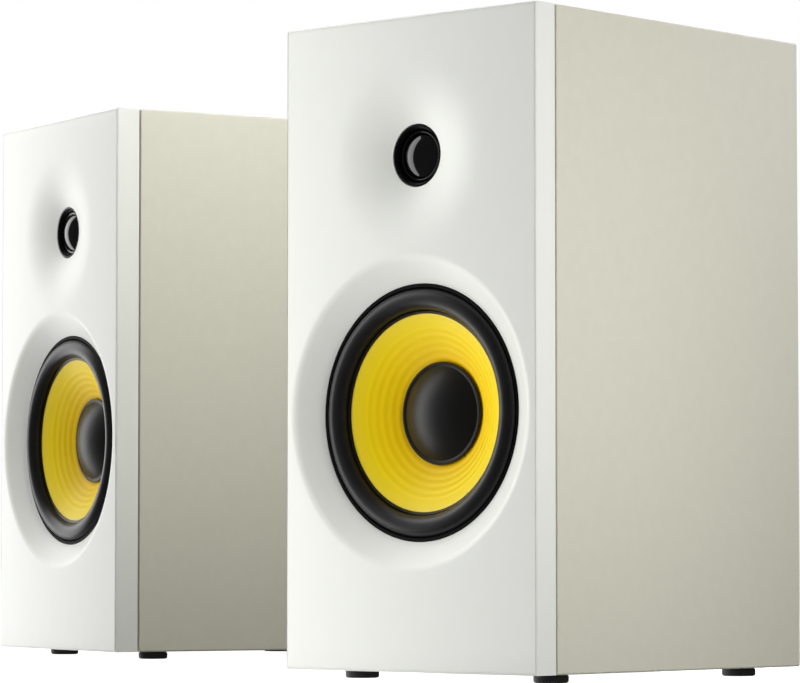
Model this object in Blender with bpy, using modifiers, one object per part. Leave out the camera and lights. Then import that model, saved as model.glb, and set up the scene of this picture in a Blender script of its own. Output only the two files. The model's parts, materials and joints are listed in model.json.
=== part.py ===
"""A pair of two-way desktop loudspeakers: an active one with the amplifier, and a passive one beside it.

Units are metres with +Z up. The fronts face -Y, and +X is the listener's right, where the active speaker
stands. The origin is on the table under the middle of the pair's box. Each speaker is built in its own frame,
held by an empty: x across the front to the right, y from the front face backwards, z up from the base.
"""

import math

import bmesh
import bpy
from mathutils import Matrix, Vector

MM = 0.001

# How the two speakers stand
SPACING = 346.5 * MM  # from the active front's middle to the passive front's, along x
SET_BACK = 149.0 * MM  # how far behind the passive one stands
TOE_OUT = math.radians(18.0)  # how far the passive one is turned away from its neighbour

# Cabinet, made of a sleeve, a baffle in front and a board behind
CABINET_W = 122.0 * MM
CABINET_H = 240.0 * MM
CABINET_D = 157.5 * MM  # over the baffle and the sleeve
WALL = 9.0 * MM
GAP = 0.3 * MM  # clearance between neighbours
BAFFLE_T = 11.0 * MM
GROOVE = 0.8 * MM  # shadow gap behind the baffle
TONGUE_D = 5.8 * MM  # the baffle's tongue that sits inside the sleeve
TONGUE_T = 4.0 * MM
BACK_Y = 155.5 * MM  # outer face of the rear board, a little inside the sleeve's end
BACK_T = 9.0 * MM

# Feet
FOOT_R = 6.4 * MM
FOOT_H = 3.4 * MM
FOOT_EDGE = 1.0 * MM
FOOT_X = CABINET_W / 2 - 14.9 * MM
FOOT_Y = {"front": 25.9 * MM, "rear": 138.0 * MM}

# Woofer, on its axis: radii, and depths behind the front face
WOOFER_Z = 94.7 * MM
HOLE_R = 47.4 * MM
DISH = (57.0 * MM, 1.6 * MM, 0.698)  # the dish around it: its rim, half the width of its rounding, its slope
DISH_D = 6.7 * MM
REBATE_R = 53.0 * MM
REBATE_Y = 9.3 * MM
GASKET_R = (46.0 * MM, HOLE_R - GAP)
ROLL_MID_R = 41.6 * MM  # middle of the surround's half roll
ROLL_R = 4.0 * MM
ROLL_RISE = 4.35 * MM
ROLL_T = 0.7 * MM
ROLL_Y = 8.6 * MM
CONE_R = 37.2 * MM
CONE_Y = 8.4 * MM
CONE_T = 0.9 * MM
NECK_R = 13.5 * MM
NECK_Y = 23.0 * MM
CAP_R = 19.1 * MM  # dust cap with its flat rim
CAP_DOME_R = 17.5 * MM
CAP_Y = 18.9 * MM
CAP_RISE = 5.2 * MM
CAP_T = 0.5 * MM
COIL_R = (12.7 * MM, 13.1 * MM)
COIL_Y = (22.0 * MM, 45.5 * MM)
SPIDER_R = (13.5 * MM, 32.5 * MM)
SPIDER_Y = 33.5 * MM
BASKET_REAR_R = 36.5 * MM  # where the frame's wall meets its seat
BASKET_SEAT_R = (18.0 * MM, 34.5 * MM)
BASKET_WINDOW = (26.0 * MM, 17.0 * MM)
BASKET_T = 1.5 * MM
FLANGE_R = 52.5 * MM
FLANGE_T = 2.0 * MM
PLATE_Y = 40.0 * MM  # front of the motor's top plate
PLATE_T = 4.0 * MM
PLATE_R = 32.0 * MM
MAGNET_R = 36.0 * MM
MAGNET_T = 12.0 * MM
MAGNET_BORE_R = 18.0 * MM
PLATE_BORE_R = 14.0 * MM
WINDING_L = 7.0 * MM
WINDING_T = 0.25 * MM
SPIDER_WAVE = 0.7 * MM
SPIDER_T = 0.6 * MM
POLE_R = 12.2 * MM

# Tweeter
TWEETER_Z = 189.1 * MM
THROAT_R = 11.7 * MM
GUIDE = (25.5 * MM, 10.5 * MM, 0.36)  # the waveguide: its rim, half the width of its rounding, its slope
GUIDE_D = 5.0 * MM
FACE_R = 11.4 * MM
FACE_BORE_R = 9.8 * MM
FACE_LIP = 0.6 * MM  # width of the ring's flat lip
DOME_R = 8.6 * MM
DOME_ROLL_R = 9.5 * MM
DOME_ROLL_RISE = 0.5 * MM
DOME_Y = 7.3 * MM
DOME_RISE = 3.0 * MM
DOME_T = 0.7 * MM
TWEETER_FLANGE_R = 20.0 * MM
TWEETER_FLANGE_T = 2.0 * MM
TWEETER_MOTOR_R = 15.0 * MM
TWEETER_MOTOR_L = 10.5 * MM
TWEETER_MOTOR_EDGE = 1.5 * MM

# Reflex port in the rear board
PORT_Z = 196.0 * MM
PORT_R = 16.0 * MM
PORT_MOUTH_R = 21.5 * MM
PORT_FLANGE_R = 24.0 * MM
PORT_INNER_Y = 80.0 * MM
PORT_T = 1.8 * MM
PORT_LIP = 1.4 * MM
PORT_FLARE_L = 10.0 * MM

# Amplifier on the active speaker's rear board
PANEL_W = 92.0 * MM
PANEL_H = 138.0 * MM
PANEL_T = 1.5 * MM
PANEL_Z = 89.0 * MM
PANEL_LAP = 4.0 * MM  # how far it covers the board around the opening
PANEL_CLEAR = 0.4 * MM
PANEL_Y = BACK_Y + GAP
PANEL_FACE = PANEL_Y + PANEL_T
KNOBS = {  # place across the panel, radius, and the pointer's turn from straight up
    "volume": (27.0 * MM, 9.0 * MM, math.radians(150)),
    "bass": (0.0, 7.0 * MM, 0.0),
    "treble": (-27.0 * MM, 7.0 * MM, 0.0),
}
KNOB_Z = 140.0 * MM
KNOB_L = 12.0 * MM
POINTER_W = 1.2 * MM
POINTER_D = 0.8 * MM
SHAFT_R = 3.0 * MM
SHAFT_Y = 149.0 * MM  # the shafts' inner ends
BOARD = (84.0 * MM, 1.6 * MM, 110.0 * MM)
BOARD_Y = 134.0 * MM
BOARD_Z = 96.0 * MM
POT = (12.0 * MM, 14.6 * MM, 12.0 * MM)
CAPACITOR = (7.0 * MM, 18.0 * MM)  # radius and length
CAPACITOR_X = 22.0 * MM
CAPACITOR_Z = 70.0 * MM
JACKS = {"left": 34.0 * MM, "right": 18.0 * MM}
JACK_Z = 100.0 * MM
JACK_L = 9.0 * MM
JACK_R = 4.1 * MM
JACK_RING = (6.0 * MM, 1.6 * MM)  # radius and thickness
JACK_BORE_R = 1.7 * MM
JACK_TAIL = 8.0 * MM
INLET_X = 22.0 * MM
SWITCH_X = -22.0 * MM
POWER_Z = 42.0 * MM
BEZEL_T = 2.0 * MM  # flange of the inlet and the switch on the panel
INLET = (30.0 * MM, 22.0 * MM)
INLET_SHELL = (24.0 * MM, 18.0 * MM, 17.0 * MM)
INLET_RECESS = (17.0 * MM, 16.0 * MM, 9.0 * MM)
PIN_R = 1.2 * MM
PIN_X = 4.3 * MM
PIN_L = 13.0 * MM
SWITCH = (18.0 * MM, 24.0 * MM)
SWITCH_CUP = (13.8 * MM, 12.0 * MM, 19.8 * MM)
SWITCH_WELL = (11.4 * MM, 14.0 * MM, 17.4 * MM)
ROCKER_W = 10.4 * MM
ROCKER_Y = 1.2 * MM  # pivot, behind the bezel's seat
ROCKER_TILT = math.radians(-8.0)
ROCKER = [  # outline of (y, z) points about the pivot
    (1.2 * MM, -7.8 * MM), (2.6 * MM, 0.0), (1.2 * MM, 7.8 * MM),
    (-3.6 * MM, 6.6 * MM), (-4.6 * MM, 0.0), (-3.6 * MM, -6.6 * MM),
]
CORE = (44.0 * MM, 18.0 * MM, 36.0 * MM)  # the transformer's laminations, and its winding
WINDING = (26.0 * MM, 34.0 * MM, 24.0 * MM)
CORE_Y = 100.0 * MM

# Crossover board in the passive speaker
CROSSOVER = (64.0 * MM, 1.6 * MM, 56.0 * MM)
CROSSOVER_Y = 126.0 * MM
CROSSOVER_Z = 70.0 * MM
CROSSOVER_PARTS = {"coil": (-16.0 * MM, 12.0 * MM, 14.0 * MM), "capacitor": (18.0 * MM, 7.0 * MM, 22.0 * MM)}

# Spring terminals, one block on each speaker
TERMINAL_W = 38.0 * MM
TERMINAL_H = 30.0 * MM
TERMINAL_T = 2.0 * MM
TERMINAL_BODY = (32.0 * MM, 12.0 * MM, 24.0 * MM)
TERMINAL_WINDOW = (33.0 * MM, 25.0 * MM)
RIB_T = 2.0 * MM
RIB_D = 6.5 * MM
RIB_H = 18.0 * MM
LEVER_X = 8.0 * MM
LEVER_W = 12.8 * MM
LEVER_Y = 2.7 * MM  # pivot, in front of the block's face
LEVER_Z = -7.2 * MM  # pivot, below the block's middle
LEVER = [  # outline of (y, z) points about the pivot
    (-1.0 * MM, -1.7 * MM), (1.0 * MM, -1.7 * MM), (1.9 * MM, 0.0), (1.9 * MM, 8.0 * MM),
    (4.6 * MM, 11.5 * MM), (3.4 * MM, 13.5 * MM), (-1.5 * MM, 9.5 * MM), (-1.9 * MM, 0.0),
]
ACTIVE_TERMINAL = Vector((-20.0 * MM, PANEL_FACE + GAP, 100.0 * MM))
PASSIVE_TERMINAL = Vector((0.0, BACK_Y + GAP, 70.0 * MM))

ROUND = 32  # segments of a large turned piece
MEDIUM = 24
SMALL = 16
SHARP = math.radians(32)
OVER = 2.0 * MM  # how far a cutter runs past the surface that it cuts

# Colour, roughness and metallic value of each kind of surface
LOOKS = {
    "white_shell": ((0.86, 0.86, 0.84), 0.45, 0.0),
    "beige_wrap": ((0.62, 0.60, 0.52), 0.5, 0.0),
    "black_board": ((0.03, 0.03, 0.032), 0.6, 0.0),
    "yellow_cone": ((0.83, 0.66, 0.05), 0.4, 0.0),
    "black_rubber": ((0.015, 0.015, 0.016), 0.5, 0.0),
    "black_fabric": ((0.02, 0.02, 0.022), 0.35, 0.0),
    "black_plastic": ((0.02, 0.02, 0.02), 0.4, 0.0),
    "red_plastic": ((0.6, 0.03, 0.02), 0.4, 0.0),
    "white_plastic": ((0.8, 0.8, 0.78), 0.4, 0.0),
    "black_panel": ((0.03, 0.03, 0.032), 0.5, 0.6),
    "basket_metal": ((0.08, 0.08, 0.085), 0.5, 0.8),
    "plated_steel": ((0.6, 0.6, 0.62), 0.3, 1.0),
    "ferrite": ((0.05, 0.05, 0.055), 0.6, 0.0),
    "copper_coil": ((0.55, 0.22, 0.1), 0.35, 0.8),
    "treated_cloth": ((0.5, 0.32, 0.1), 0.8, 0.0),
    "circuit_board": ((0.03, 0.2, 0.08), 0.5, 0.0),
}


def clear_scene():
    for obj in list(bpy.data.objects):
        bpy.data.objects.remove(obj, do_unlink=True)


def new_collection(name):
    made = bpy.data.collections.new(name)
    bpy.context.scene.collection.children.link(made)
    return made


clear_scene()
PARTS = new_collection("desktop_speakers")
CUTTERS = new_collection("cutters")


# Building blocks


def paint(obj, look):
    """Gives the object a material of its own, of the named kind."""
    colour, roughness, metallic = LOOKS[look]
    made = bpy.data.materials.new(f"{obj.name}_{look}")
    made.use_nodes = True
    shader = made.node_tree.nodes["Principled BSDF"]
    shader.inputs["Base Color"].default_value = (*colour, 1.0)
    shader.inputs["Roughness"].default_value = roughness
    shader.inputs["Metallic"].default_value = metallic
    obj.data.materials.append(made)


def place(name, mesh, speaker, at, look):
    """Puts a mesh into the speaker's frame: a part if it has a look, and otherwise a cutter."""
    obj = bpy.data.objects.new(name, mesh)
    obj.parent = speaker
    obj.location = at
    if look:
        PARTS.objects.link(obj)
        paint(obj, look)
    else:
        CUTTERS.objects.link(obj)
        obj.hide_render = True
        obj.display_type = "WIRE"
    return obj


def mesh_of(bm, name):
    mesh = bpy.data.meshes.new(name)
    bm.to_mesh(mesh)
    bm.free()
    return mesh


def box(name, speaker, size, at, look=None, edge=0.0, rounded=None):
    """A box of this size around a point. Edges for which rounded(a, b) holds, or all, are bevelled by edge."""
    bm = bmesh.new()
    bmesh.ops.create_cube(bm, size=1.0, matrix=Matrix.Diagonal((*size, 1.0)))
    if edge:
        edges = [e for e in bm.edges if not rounded or rounded(e.verts[0].co, e.verts[1].co)]
        bmesh.ops.bevel(bm, geom=edges, offset=edge, segments=2, profile=0.5, affect="EDGES")
    return place(name, mesh_of(bm, name), speaker, at, look)


def clockwise(profile):
    """The profile in the order that gives a Screw its outer side from the top down."""
    ring = list(zip(profile, profile[1:] + profile[:1]))
    area = sum(a[0] * b[1] - b[0] * a[1] for a, b in ring)
    return profile[::-1] if area > 0 else profile


def turned(name, speaker, profile, at, look=None, steps=ROUND, upright=False):
    """A profile of (radius, depth) points turned about the y axis through a point, or about z if upright."""
    bm = bmesh.new()
    points = [bm.verts.new((radius, 0.0, depth)) for radius, depth in clockwise(profile)]
    on_axis = [i for i, v in enumerate(points) if v.co.x == 0.0]
    for i, vert in enumerate(points):
        after = (i + 1) % len(points)
        if not (i in on_axis and after in on_axis):
            bm.edges.new((vert, points[after]))
    obj = place(name, mesh_of(bm, name), speaker, at, look)
    if not upright:
        obj.rotation_euler = (-math.pi / 2, 0.0, 0.0)
    screw = obj.modifiers.new("Turn", "SCREW")
    screw.steps = steps
    screw.render_steps = steps
    screw.use_merge_vertices = True
    screw.merge_threshold = 0.00001
    return obj


def extruded(name, speaker, outline, width, at, look=None):
    """An outline of (y, z) points, extruded to both sides along x."""
    bm = bmesh.new()
    face = bm.faces.new([bm.verts.new((-width / 2, y, z)) for y, z in outline])
    pushed = bmesh.ops.extrude_face_region(bm, geom=[face])["geom"]
    moved = [v for v in pushed if isinstance(v, bmesh.types.BMVert)]
    bmesh.ops.translate(bm, vec=(width, 0.0, 0.0), verts=moved)
    bmesh.ops.recalc_face_normals(bm, faces=bm.faces)
    return place(name, mesh_of(bm, name), speaker, at, look)


def combine(obj, operation, others):
    for other in others:
        step = obj.modifiers.new(other.name, "BOOLEAN")
        step.operation = operation
        step.solver = "EXACT"
        step.object = other
    return obj


def cut(obj, *cutters):
    return combine(obj, "DIFFERENCE", cutters)


def joined(obj, *others):
    return combine(obj, "UNION", others)


def arc(middle, radii, start, end, count):
    """Points on an ellipse in (radius, depth), from one angle in degrees to another."""
    angles = [math.radians(start + (end - start) * i / count) for i in range(count + 1)]
    return [(middle[0] + radii[0] * math.cos(a), middle[1] + radii[1] * math.sin(a)) for a in angles]


def cap(rim_r, rim_y, rise, count):
    """A spherical cap's points from the axis, rise in front of its rim, out to the rim."""
    sphere_r = (rim_r**2 + rise**2) / (2 * rise)
    spread = math.asin(rim_r / sphere_r)
    points = []
    for i in range(count + 1):
        angle = spread * i / count
        radius = sphere_r * math.sin(angle) if i else 0.0
        points.append((radius, rim_y - rise + sphere_r * (1 - math.cos(angle))))
    return points


def flare(rim, blend, slope, throat_r, count=3):
    """A cone from its rim in to its throat, rounded over to the front, after a lead-in before the face."""
    points = []
    for i in range(1, count + 1):
        inside = 2 * blend * i / count
        points.append((rim + blend - inside, slope * inside**2 / (4 * blend)))
    lead = (2 * (rim + blend) - points[0][0], -points[0][1])
    return [lead] + points + [(throat_r, slope * (rim - throat_r))]


# The cabinet


def along_y(a, b):
    return abs(a.y - b.y) > max(abs(a.x - b.x), abs(a.z - b.z))


def at_front(a, b):
    return a.y < 0 and b.y < 0


def make_sleeve(prefix, speaker):
    front = BAFFLE_T + GROOVE
    length = CABINET_D - front
    middle = (0.0, front + length / 2, CABINET_H / 2)
    bore = (CABINET_W - 2 * WALL, length + 2 * OVER, CABINET_H - 2 * WALL)
    outer = (CABINET_W, length, CABINET_H)
    sleeve = box(f"{prefix}_cabinet_sleeve", speaker, outer, middle, "beige_wrap", 0.6 * MM, along_y)
    cut(sleeve, box(f"cut_{prefix}_sleeve_bore", speaker, bore, middle))


def make_baffle(prefix, speaker):
    """The white front, its tongue inside the sleeve, and the two dishes with the holes behind them."""
    slab = box(
        f"{prefix}_baffle", speaker, (CABINET_W, BAFFLE_T, CABINET_H),
        (0.0, BAFFLE_T / 2, CABINET_H / 2), "white_shell", 0.9 * MM, at_front,
    )
    inset = 2 * (WALL + GAP)
    tongue_size = (CABINET_W - inset, TONGUE_D + OVER, CABINET_H - inset)
    tongue_y = BAFFLE_T + (TONGUE_D - OVER) / 2
    tongue = box(f"cut_{prefix}_tongue", speaker, tongue_size, (0.0, tongue_y, CABINET_H / 2))
    pocket_size = (tongue_size[0] - 2 * TONGUE_T, TONGUE_D + OVER, tongue_size[2] - 2 * TONGUE_T)
    pocket_y = BAFFLE_T + (TONGUE_D + OVER) / 2
    pocket = box(f"cut_{prefix}_pocket", speaker, pocket_size, (0.0, pocket_y, CABINET_H / 2))
    dish = flare(*DISH, HOLE_R)
    behind = BAFFLE_T + TONGUE_D + OVER
    woofer_cut = [(0.0, dish[0][1])] + dish
    woofer_cut += [(HOLE_R, REBATE_Y), (REBATE_R, REBATE_Y), (REBATE_R, behind), (0.0, behind)]
    guide = flare(*GUIDE, THROAT_R)
    tweeter_cut = [(0.0, guide[0][1])] + guide + [(THROAT_R, behind), (0.0, behind)]
    holes = (
        turned(f"cut_{prefix}_woofer_hole", speaker, woofer_cut, (0.0, 0.0, WOOFER_Z), steps=40),
        turned(f"cut_{prefix}_tweeter_hole", speaker, tweeter_cut, (0.0, 0.0, TWEETER_Z)),
    )
    cut(joined(slab, tongue), pocket, *holes)


def make_rear_board(prefix, speaker, opening, opening_at):
    """The board behind, with the port's hole and one opening for the amplifier or the terminals."""
    inset = 2 * (WALL + GAP)
    size = (CABINET_W - inset, BACK_T, CABINET_H - inset)
    middle_y = BACK_Y - BACK_T / 2
    board = box(f"{prefix}_rear_board", speaker, size, (0.0, middle_y, CABINET_H / 2), "black_board")
    ends = (BACK_Y - BACK_T - OVER, BACK_Y + OVER)
    hole_r = PORT_R + PORT_T + GAP
    profile = [(0.0, ends[0]), (hole_r, ends[0]), (hole_r, ends[1]), (0.0, ends[1])]
    port_hole = turned(f"cut_{prefix}_port_hole", speaker, profile, (0.0, 0.0, PORT_Z))
    size = (opening[0], BACK_T + 2 * OVER, opening[1])
    window = box(f"cut_{prefix}_window", speaker, size, (opening_at[0], middle_y, opening_at[1]))
    cut(board, port_hole, window)


def make_port(prefix, speaker):
    """The reflex tube with a flared mouth and a thin flange on the rear board."""
    face = BACK_Y + GAP + PORT_LIP
    tube_r = PORT_R + PORT_T
    mouth = arc((PORT_MOUTH_R, face - PORT_FLARE_L), (PORT_R - PORT_MOUTH_R, PORT_FLARE_L), 0, 90, 3)
    profile = [(PORT_FLANGE_R, face), (PORT_FLANGE_R, BACK_Y + GAP), (tube_r, BACK_Y + GAP)]
    profile += [(tube_r, PORT_INNER_Y), (PORT_R, PORT_INNER_Y)] + mouth
    turned(f"{prefix}_port_tube", speaker, profile, (0.0, 0.0, PORT_Z), "black_plastic", MEDIUM)


def make_feet(prefix, speaker):
    edge = arc((FOOT_R - FOOT_EDGE, -FOOT_H + FOOT_EDGE), (FOOT_EDGE, FOOT_EDGE), 0, -90, 2)
    profile = [(0.0, -GAP), (FOOT_R, -GAP)] + edge + [(0.0, -FOOT_H)]
    for end, y in FOOT_Y.items():
        for side, x in (("left", -FOOT_X), ("right", FOOT_X)):
            name = f"{prefix}_foot_{end}_{side}"
            turned(name, speaker, profile, (x, y, 0.0), "black_rubber", SMALL, upright=True)


# The woofer


def make_basket(prefix, speaker, at):
    """A dished frame with a flange in front, six windows in its wall and a seat for the motor behind."""
    front = REBATE_Y + GAP
    seat = PLATE_Y - GAP
    bore, edge = BASKET_SEAT_R
    flange_back = front + FLANGE_T
    outer = [(FLANGE_R, front), (FLANGE_R, flange_back), (47 * MM, flange_back)]
    outer += [(BASKET_REAR_R, seat - 3.7 * MM), (edge, seat), (bore, seat)]
    floor = seat - BASKET_T
    inner = [(bore, floor), (edge - BASKET_T, floor), (BASKET_REAR_R - 1.7 * MM, seat - 4.4 * MM)]
    inner += [(45 * MM, front + 1.6 * MM), (44.2 * MM, front)]
    basket = turned(f"{prefix}_woofer_basket", speaker, outer + inner, at, "basket_metal", MEDIUM)
    windows = []
    for i in range(3):
        middle = (at[0], 24 * MM, at[2])
        name = f"cut_{prefix}_basket_window_{i + 1}"
        window = box(name, speaker, (*BASKET_WINDOW, 2 * FLANGE_R), middle)
        window.rotation_euler = (0.0, math.radians(60 * i + 30), 0.0)
        windows.append(window)
    cut(basket, *windows)


def make_surround(prefix, speaker, at):
    """The rubber half roll with its outer flange; the cone moves freely inside its inner edge."""
    front = arc((ROLL_MID_R, ROLL_Y), (ROLL_R, -ROLL_RISE), 0, 180, 5)
    back = arc((ROLL_MID_R, ROLL_Y), (ROLL_R - ROLL_T, ROLL_T - ROLL_RISE), 180, 0, 4)
    flange_back = ROLL_Y + ROLL_T
    rim = HOLE_R - GAP
    profile = [(rim, ROLL_Y)] + front + back
    profile += [(ROLL_MID_R + ROLL_R - ROLL_T, flange_back), (rim, flange_back)]
    turned(f"{prefix}_woofer_surround", speaker, profile, at, "black_rubber")


def make_gasket(prefix, speaker, at):
    inner, outer = GASKET_R
    front, back = DISH_D - 0.2 * MM, ROLL_Y - GAP
    profile = [(outer, front), (outer, back), (inner, back), (inner, front)]
    turned(f"{prefix}_woofer_gasket", speaker, profile, at, "black_rubber")


def make_cone(prefix, speaker, at):
    """The cone, straight but for a flatter lip, and the dust cap: a dome with a flat rim, 0.5 mm thick."""
    lip = (CONE_R - 1.8 * MM, CONE_Y + 0.5 * MM)
    front = [(CONE_R, CONE_Y), lip, (NECK_R, NECK_Y)]
    back = [(radius, depth + CONE_T) for radius, depth in reversed(front)]
    turned(f"{prefix}_woofer_cone", speaker, front + back, at, "yellow_cone")
    front = cap(CAP_DOME_R, CAP_Y - 0.6 * MM, CAP_RISE, 4) + [(CAP_R, CAP_Y - CAP_T)]
    back = [(CAP_R, CAP_Y)] + cap(CAP_DOME_R - 0.3 * MM, CAP_Y - 0.1 * MM, CAP_RISE - 0.1 * MM, 3)[::-1]
    turned(f"{prefix}_woofer_dust_cap", speaker, front + back, at, "black_fabric")


def make_voice_coil(prefix, speaker, at):
    """The former, with the winding as its thicker end."""
    (inner, outer), (start, end) = COIL_R, COIL_Y
    wound_y = end - WINDING_L
    wound_r = outer + WINDING_T
    profile = [(outer, start), (outer, wound_y), (wound_r, wound_y), (wound_r, end)]
    profile += [(inner, end), (inner, start)]
    turned(f"{prefix}_woofer_voice_coil", speaker, profile, at, "copper_coil", SMALL)


def make_spider(prefix, speaker, at):
    """The corrugated centring disc, a zigzag strip of even thickness."""
    inner, outer = SPIDER_R
    waves = 5
    front = []
    for i in range(waves + 1):
        radius = inner + (outer - inner) * i / waves
        front.append((radius, SPIDER_Y + (SPIDER_WAVE if i % 2 else -SPIDER_WAVE)))
    back = [(radius, depth + SPIDER_T) for radius, depth in reversed(front)]
    turned(f"{prefix}_woofer_spider", speaker, front + back, at, "treated_cloth", SMALL)


def make_motor(prefix, speaker, at):
    """Top plate, ring magnet, and a back plate with its pole through the coil."""
    magnet_y = PLATE_Y + PLATE_T + GAP
    back_y = magnet_y + MAGNET_T + GAP

    def ring(name, inner, outer, start, thick, look):
        profile = [(outer, start), (outer, start + thick), (inner, start + thick), (inner, start)]
        turned(f"{prefix}_woofer_{name}", speaker, profile, at, look, SMALL)

    ring("top_plate", PLATE_BORE_R, PLATE_R, PLATE_Y, PLATE_T, "plated_steel")
    ring("magnet", MAGNET_BORE_R, MAGNET_R, magnet_y, MAGNET_T, "ferrite")
    pole = [(0.0, PLATE_Y), (POLE_R, PLATE_Y), (POLE_R, back_y), (PLATE_R, back_y)]
    pole += [(PLATE_R, back_y + PLATE_T), (0.0, back_y + PLATE_T)]
    turned(f"{prefix}_woofer_back_plate", speaker, pole, at, "plated_steel", SMALL)


def make_woofer(prefix, speaker):
    at = (0.0, 0.0, WOOFER_Z)
    for make in (make_basket, make_gasket, make_surround, make_cone, make_voice_coil, make_spider, make_motor):
        make(prefix, speaker, at)


# The tweeter


def make_tweeter(prefix, speaker):
    at = (0.0, 0.0, TWEETER_Z)
    flange_y = BAFFLE_T + GAP
    back = flange_y + TWEETER_FLANGE_T
    face = [(FACE_R, GUIDE_D), (FACE_R, flange_y), (TWEETER_FLANGE_R, flange_y), (TWEETER_FLANGE_R, back)]
    face += [(FACE_BORE_R, back), (FACE_BORE_R, DOME_Y - GAP), (FACE_R - FACE_LIP, GUIDE_D)]
    turned(f"{prefix}_tweeter_face", speaker, face, at, "black_plastic", MEDIUM)
    roll_mid = (DOME_R + DOME_ROLL_R) / 2
    roll_r = (DOME_ROLL_R - DOME_R) / 2
    dome = cap(DOME_R, DOME_Y, DOME_RISE, 4)
    dome += arc((roll_mid, DOME_Y), (-roll_r, -DOME_ROLL_RISE), 0, 180, 4)[1:]
    dome += [(DOME_ROLL_R, DOME_Y + DOME_T), (0.0, DOME_Y + DOME_T)]
    turned(f"{prefix}_tweeter_dome", speaker, dome, at, "black_fabric", MEDIUM)
    motor_y = back + GAP
    end = motor_y + TWEETER_MOTOR_L
    motor = [(0.0, motor_y), (TWEETER_MOTOR_R, motor_y), (TWEETER_MOTOR_R, end - TWEETER_MOTOR_EDGE)]
    motor += [(TWEETER_MOTOR_R - TWEETER_MOTOR_EDGE, end), (0.0, end)]
    turned(f"{prefix}_tweeter_motor", speaker, motor, at, "plated_steel", SMALL)


# Terminals, on both speakers


def make_terminals(prefix, speaker, at):
    """A block with three ribs, and two sprung levers that pivot between them."""
    half_t = TERMINAL_T / 2
    plate = (TERMINAL_W, TERMINAL_T, TERMINAL_H)
    block = box(f"{prefix}_terminal_block", speaker, plate, at + Vector((0, half_t, 0)), "black_plastic")
    body_at = at + Vector((0, half_t - TERMINAL_BODY[1] / 2, 0))
    body = box(f"cut_{prefix}_terminal_body", speaker, TERMINAL_BODY, body_at)
    ribs = []
    for i, x in enumerate((-2 * LEVER_X, 0.0, 2 * LEVER_X)):
        size = (RIB_T, RIB_D + half_t, RIB_H)
        middle = at + Vector((x, half_t + size[1] / 2, -2 * MM))
        ribs.append(box(f"cut_{prefix}_terminal_rib_{i + 1}", speaker, size, middle))
    joined(block, body, *ribs)
    for side, x, look in (("red", -LEVER_X, "red_plastic"), ("black", LEVER_X, "black_plastic")):
        pivot = at + Vector((x, TERMINAL_T + LEVER_Y, LEVER_Z))
        extruded(f"{prefix}_terminal_lever_{side}", speaker, LEVER, LEVER_W, pivot, look)


# The active speaker's electronics


def make_panel(speaker):
    """The amplifier's metal panel, with a hole for each thing that passes through it."""
    middle = (0.0, PANEL_Y + PANEL_T / 2, PANEL_Z)
    panel = box("active_amp_panel", speaker, (PANEL_W, PANEL_T, PANEL_H), middle, "black_panel")
    cutters = []

    def window(name, width, height, x, z):
        size = (width, PANEL_T + 2 * OVER, height)
        cutters.append(box(f"cut_panel_{name}", speaker, size, (x, middle[1], z)))

    def hole(name, radius, x, z):
        ends = (PANEL_Y - OVER, PANEL_FACE + OVER)
        profile = [(0.0, ends[0]), (radius, ends[0]), (radius, ends[1]), (0.0, ends[1])]
        cutters.append(turned(f"cut_panel_{name}", speaker, profile, (x, 0.0, z), steps=SMALL))

    for name, (x, _, _) in KNOBS.items():
        hole(name, SHAFT_R + GAP, x, KNOB_Z)
    for name, x in JACKS.items():
        hole(name, JACK_R + GAP, x, JACK_Z)
    window("terminals", *TERMINAL_WINDOW, ACTIVE_TERMINAL.x, ACTIVE_TERMINAL.z)
    clear = 2 * PANEL_CLEAR
    window("inlet", INLET_SHELL[0] + clear, INLET_SHELL[2] + clear, INLET_X, POWER_Z)
    window("switch", SWITCH_CUP[0] + clear, SWITCH_CUP[2] + clear, SWITCH_X, POWER_Z)
    cut(panel, *cutters)


def make_knobs(speaker):
    """Three knobs, each with a pointer slot and its shaft through the panel."""
    start = PANEL_FACE + 0.5 * MM
    end = start + KNOB_L
    for name, (x, radius, pointer) in KNOBS.items():
        rim = arc((radius - 1.2 * MM, end - 1.2 * MM), (0.9 * MM, 1.2 * MM), 0, 90, 3)
        profile = [(0.0, SHAFT_Y), (SHAFT_R, SHAFT_Y), (SHAFT_R, start), (radius, start)]
        profile += rim + [(0.0, end)]
        at = (x, 0.0, KNOB_Z)
        knob = turned(f"active_knob_{name}", speaker, profile, at, "black_plastic", MEDIUM)
        reach = 0.75 * radius
        middle = (x + reach * math.sin(pointer), end, KNOB_Z + reach * math.cos(pointer))
        slot = box(f"cut_knob_{name}", speaker, (POINTER_W, 2 * POINTER_D, radius), middle)
        slot.rotation_euler = (0.0, pointer, 0.0)
        cut(knob, slot)


def make_board(speaker):
    """The amplifier's circuit board with the three potentiometers and two capacitors on it."""
    board = box("active_amp_board", speaker, BOARD, (0.0, BOARD_Y, BOARD_Z), "circuit_board")
    mounted = []
    for name, (x, _, _) in KNOBS.items():
        mounted.append(box(f"cut_pot_{name}", speaker, POT, (x, BOARD_Y + POT[1] / 2, KNOB_Z)))
    radius, length = CAPACITOR
    profile = [(0.0, -length), (radius, -length), (radius, 0.0), (0.0, 0.0)]
    for i, x in enumerate((-CAPACITOR_X, CAPACITOR_X)):
        at = (x, BOARD_Y, CAPACITOR_Z)
        mounted.append(turned(f"cut_capacitor_{i + 1}", speaker, profile, at, steps=SMALL))
    joined(board, *mounted)


def make_transformer(speaker):
    """A laminated core around its winding, on the cabinet's floor."""
    middle = (0.0, CORE_Y, WALL + GAP + CORE[2] / 2)
    core = box("active_transformer", speaker, CORE, middle, "plated_steel")
    joined(core, box("cut_winding", speaker, WINDING, middle))


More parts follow.
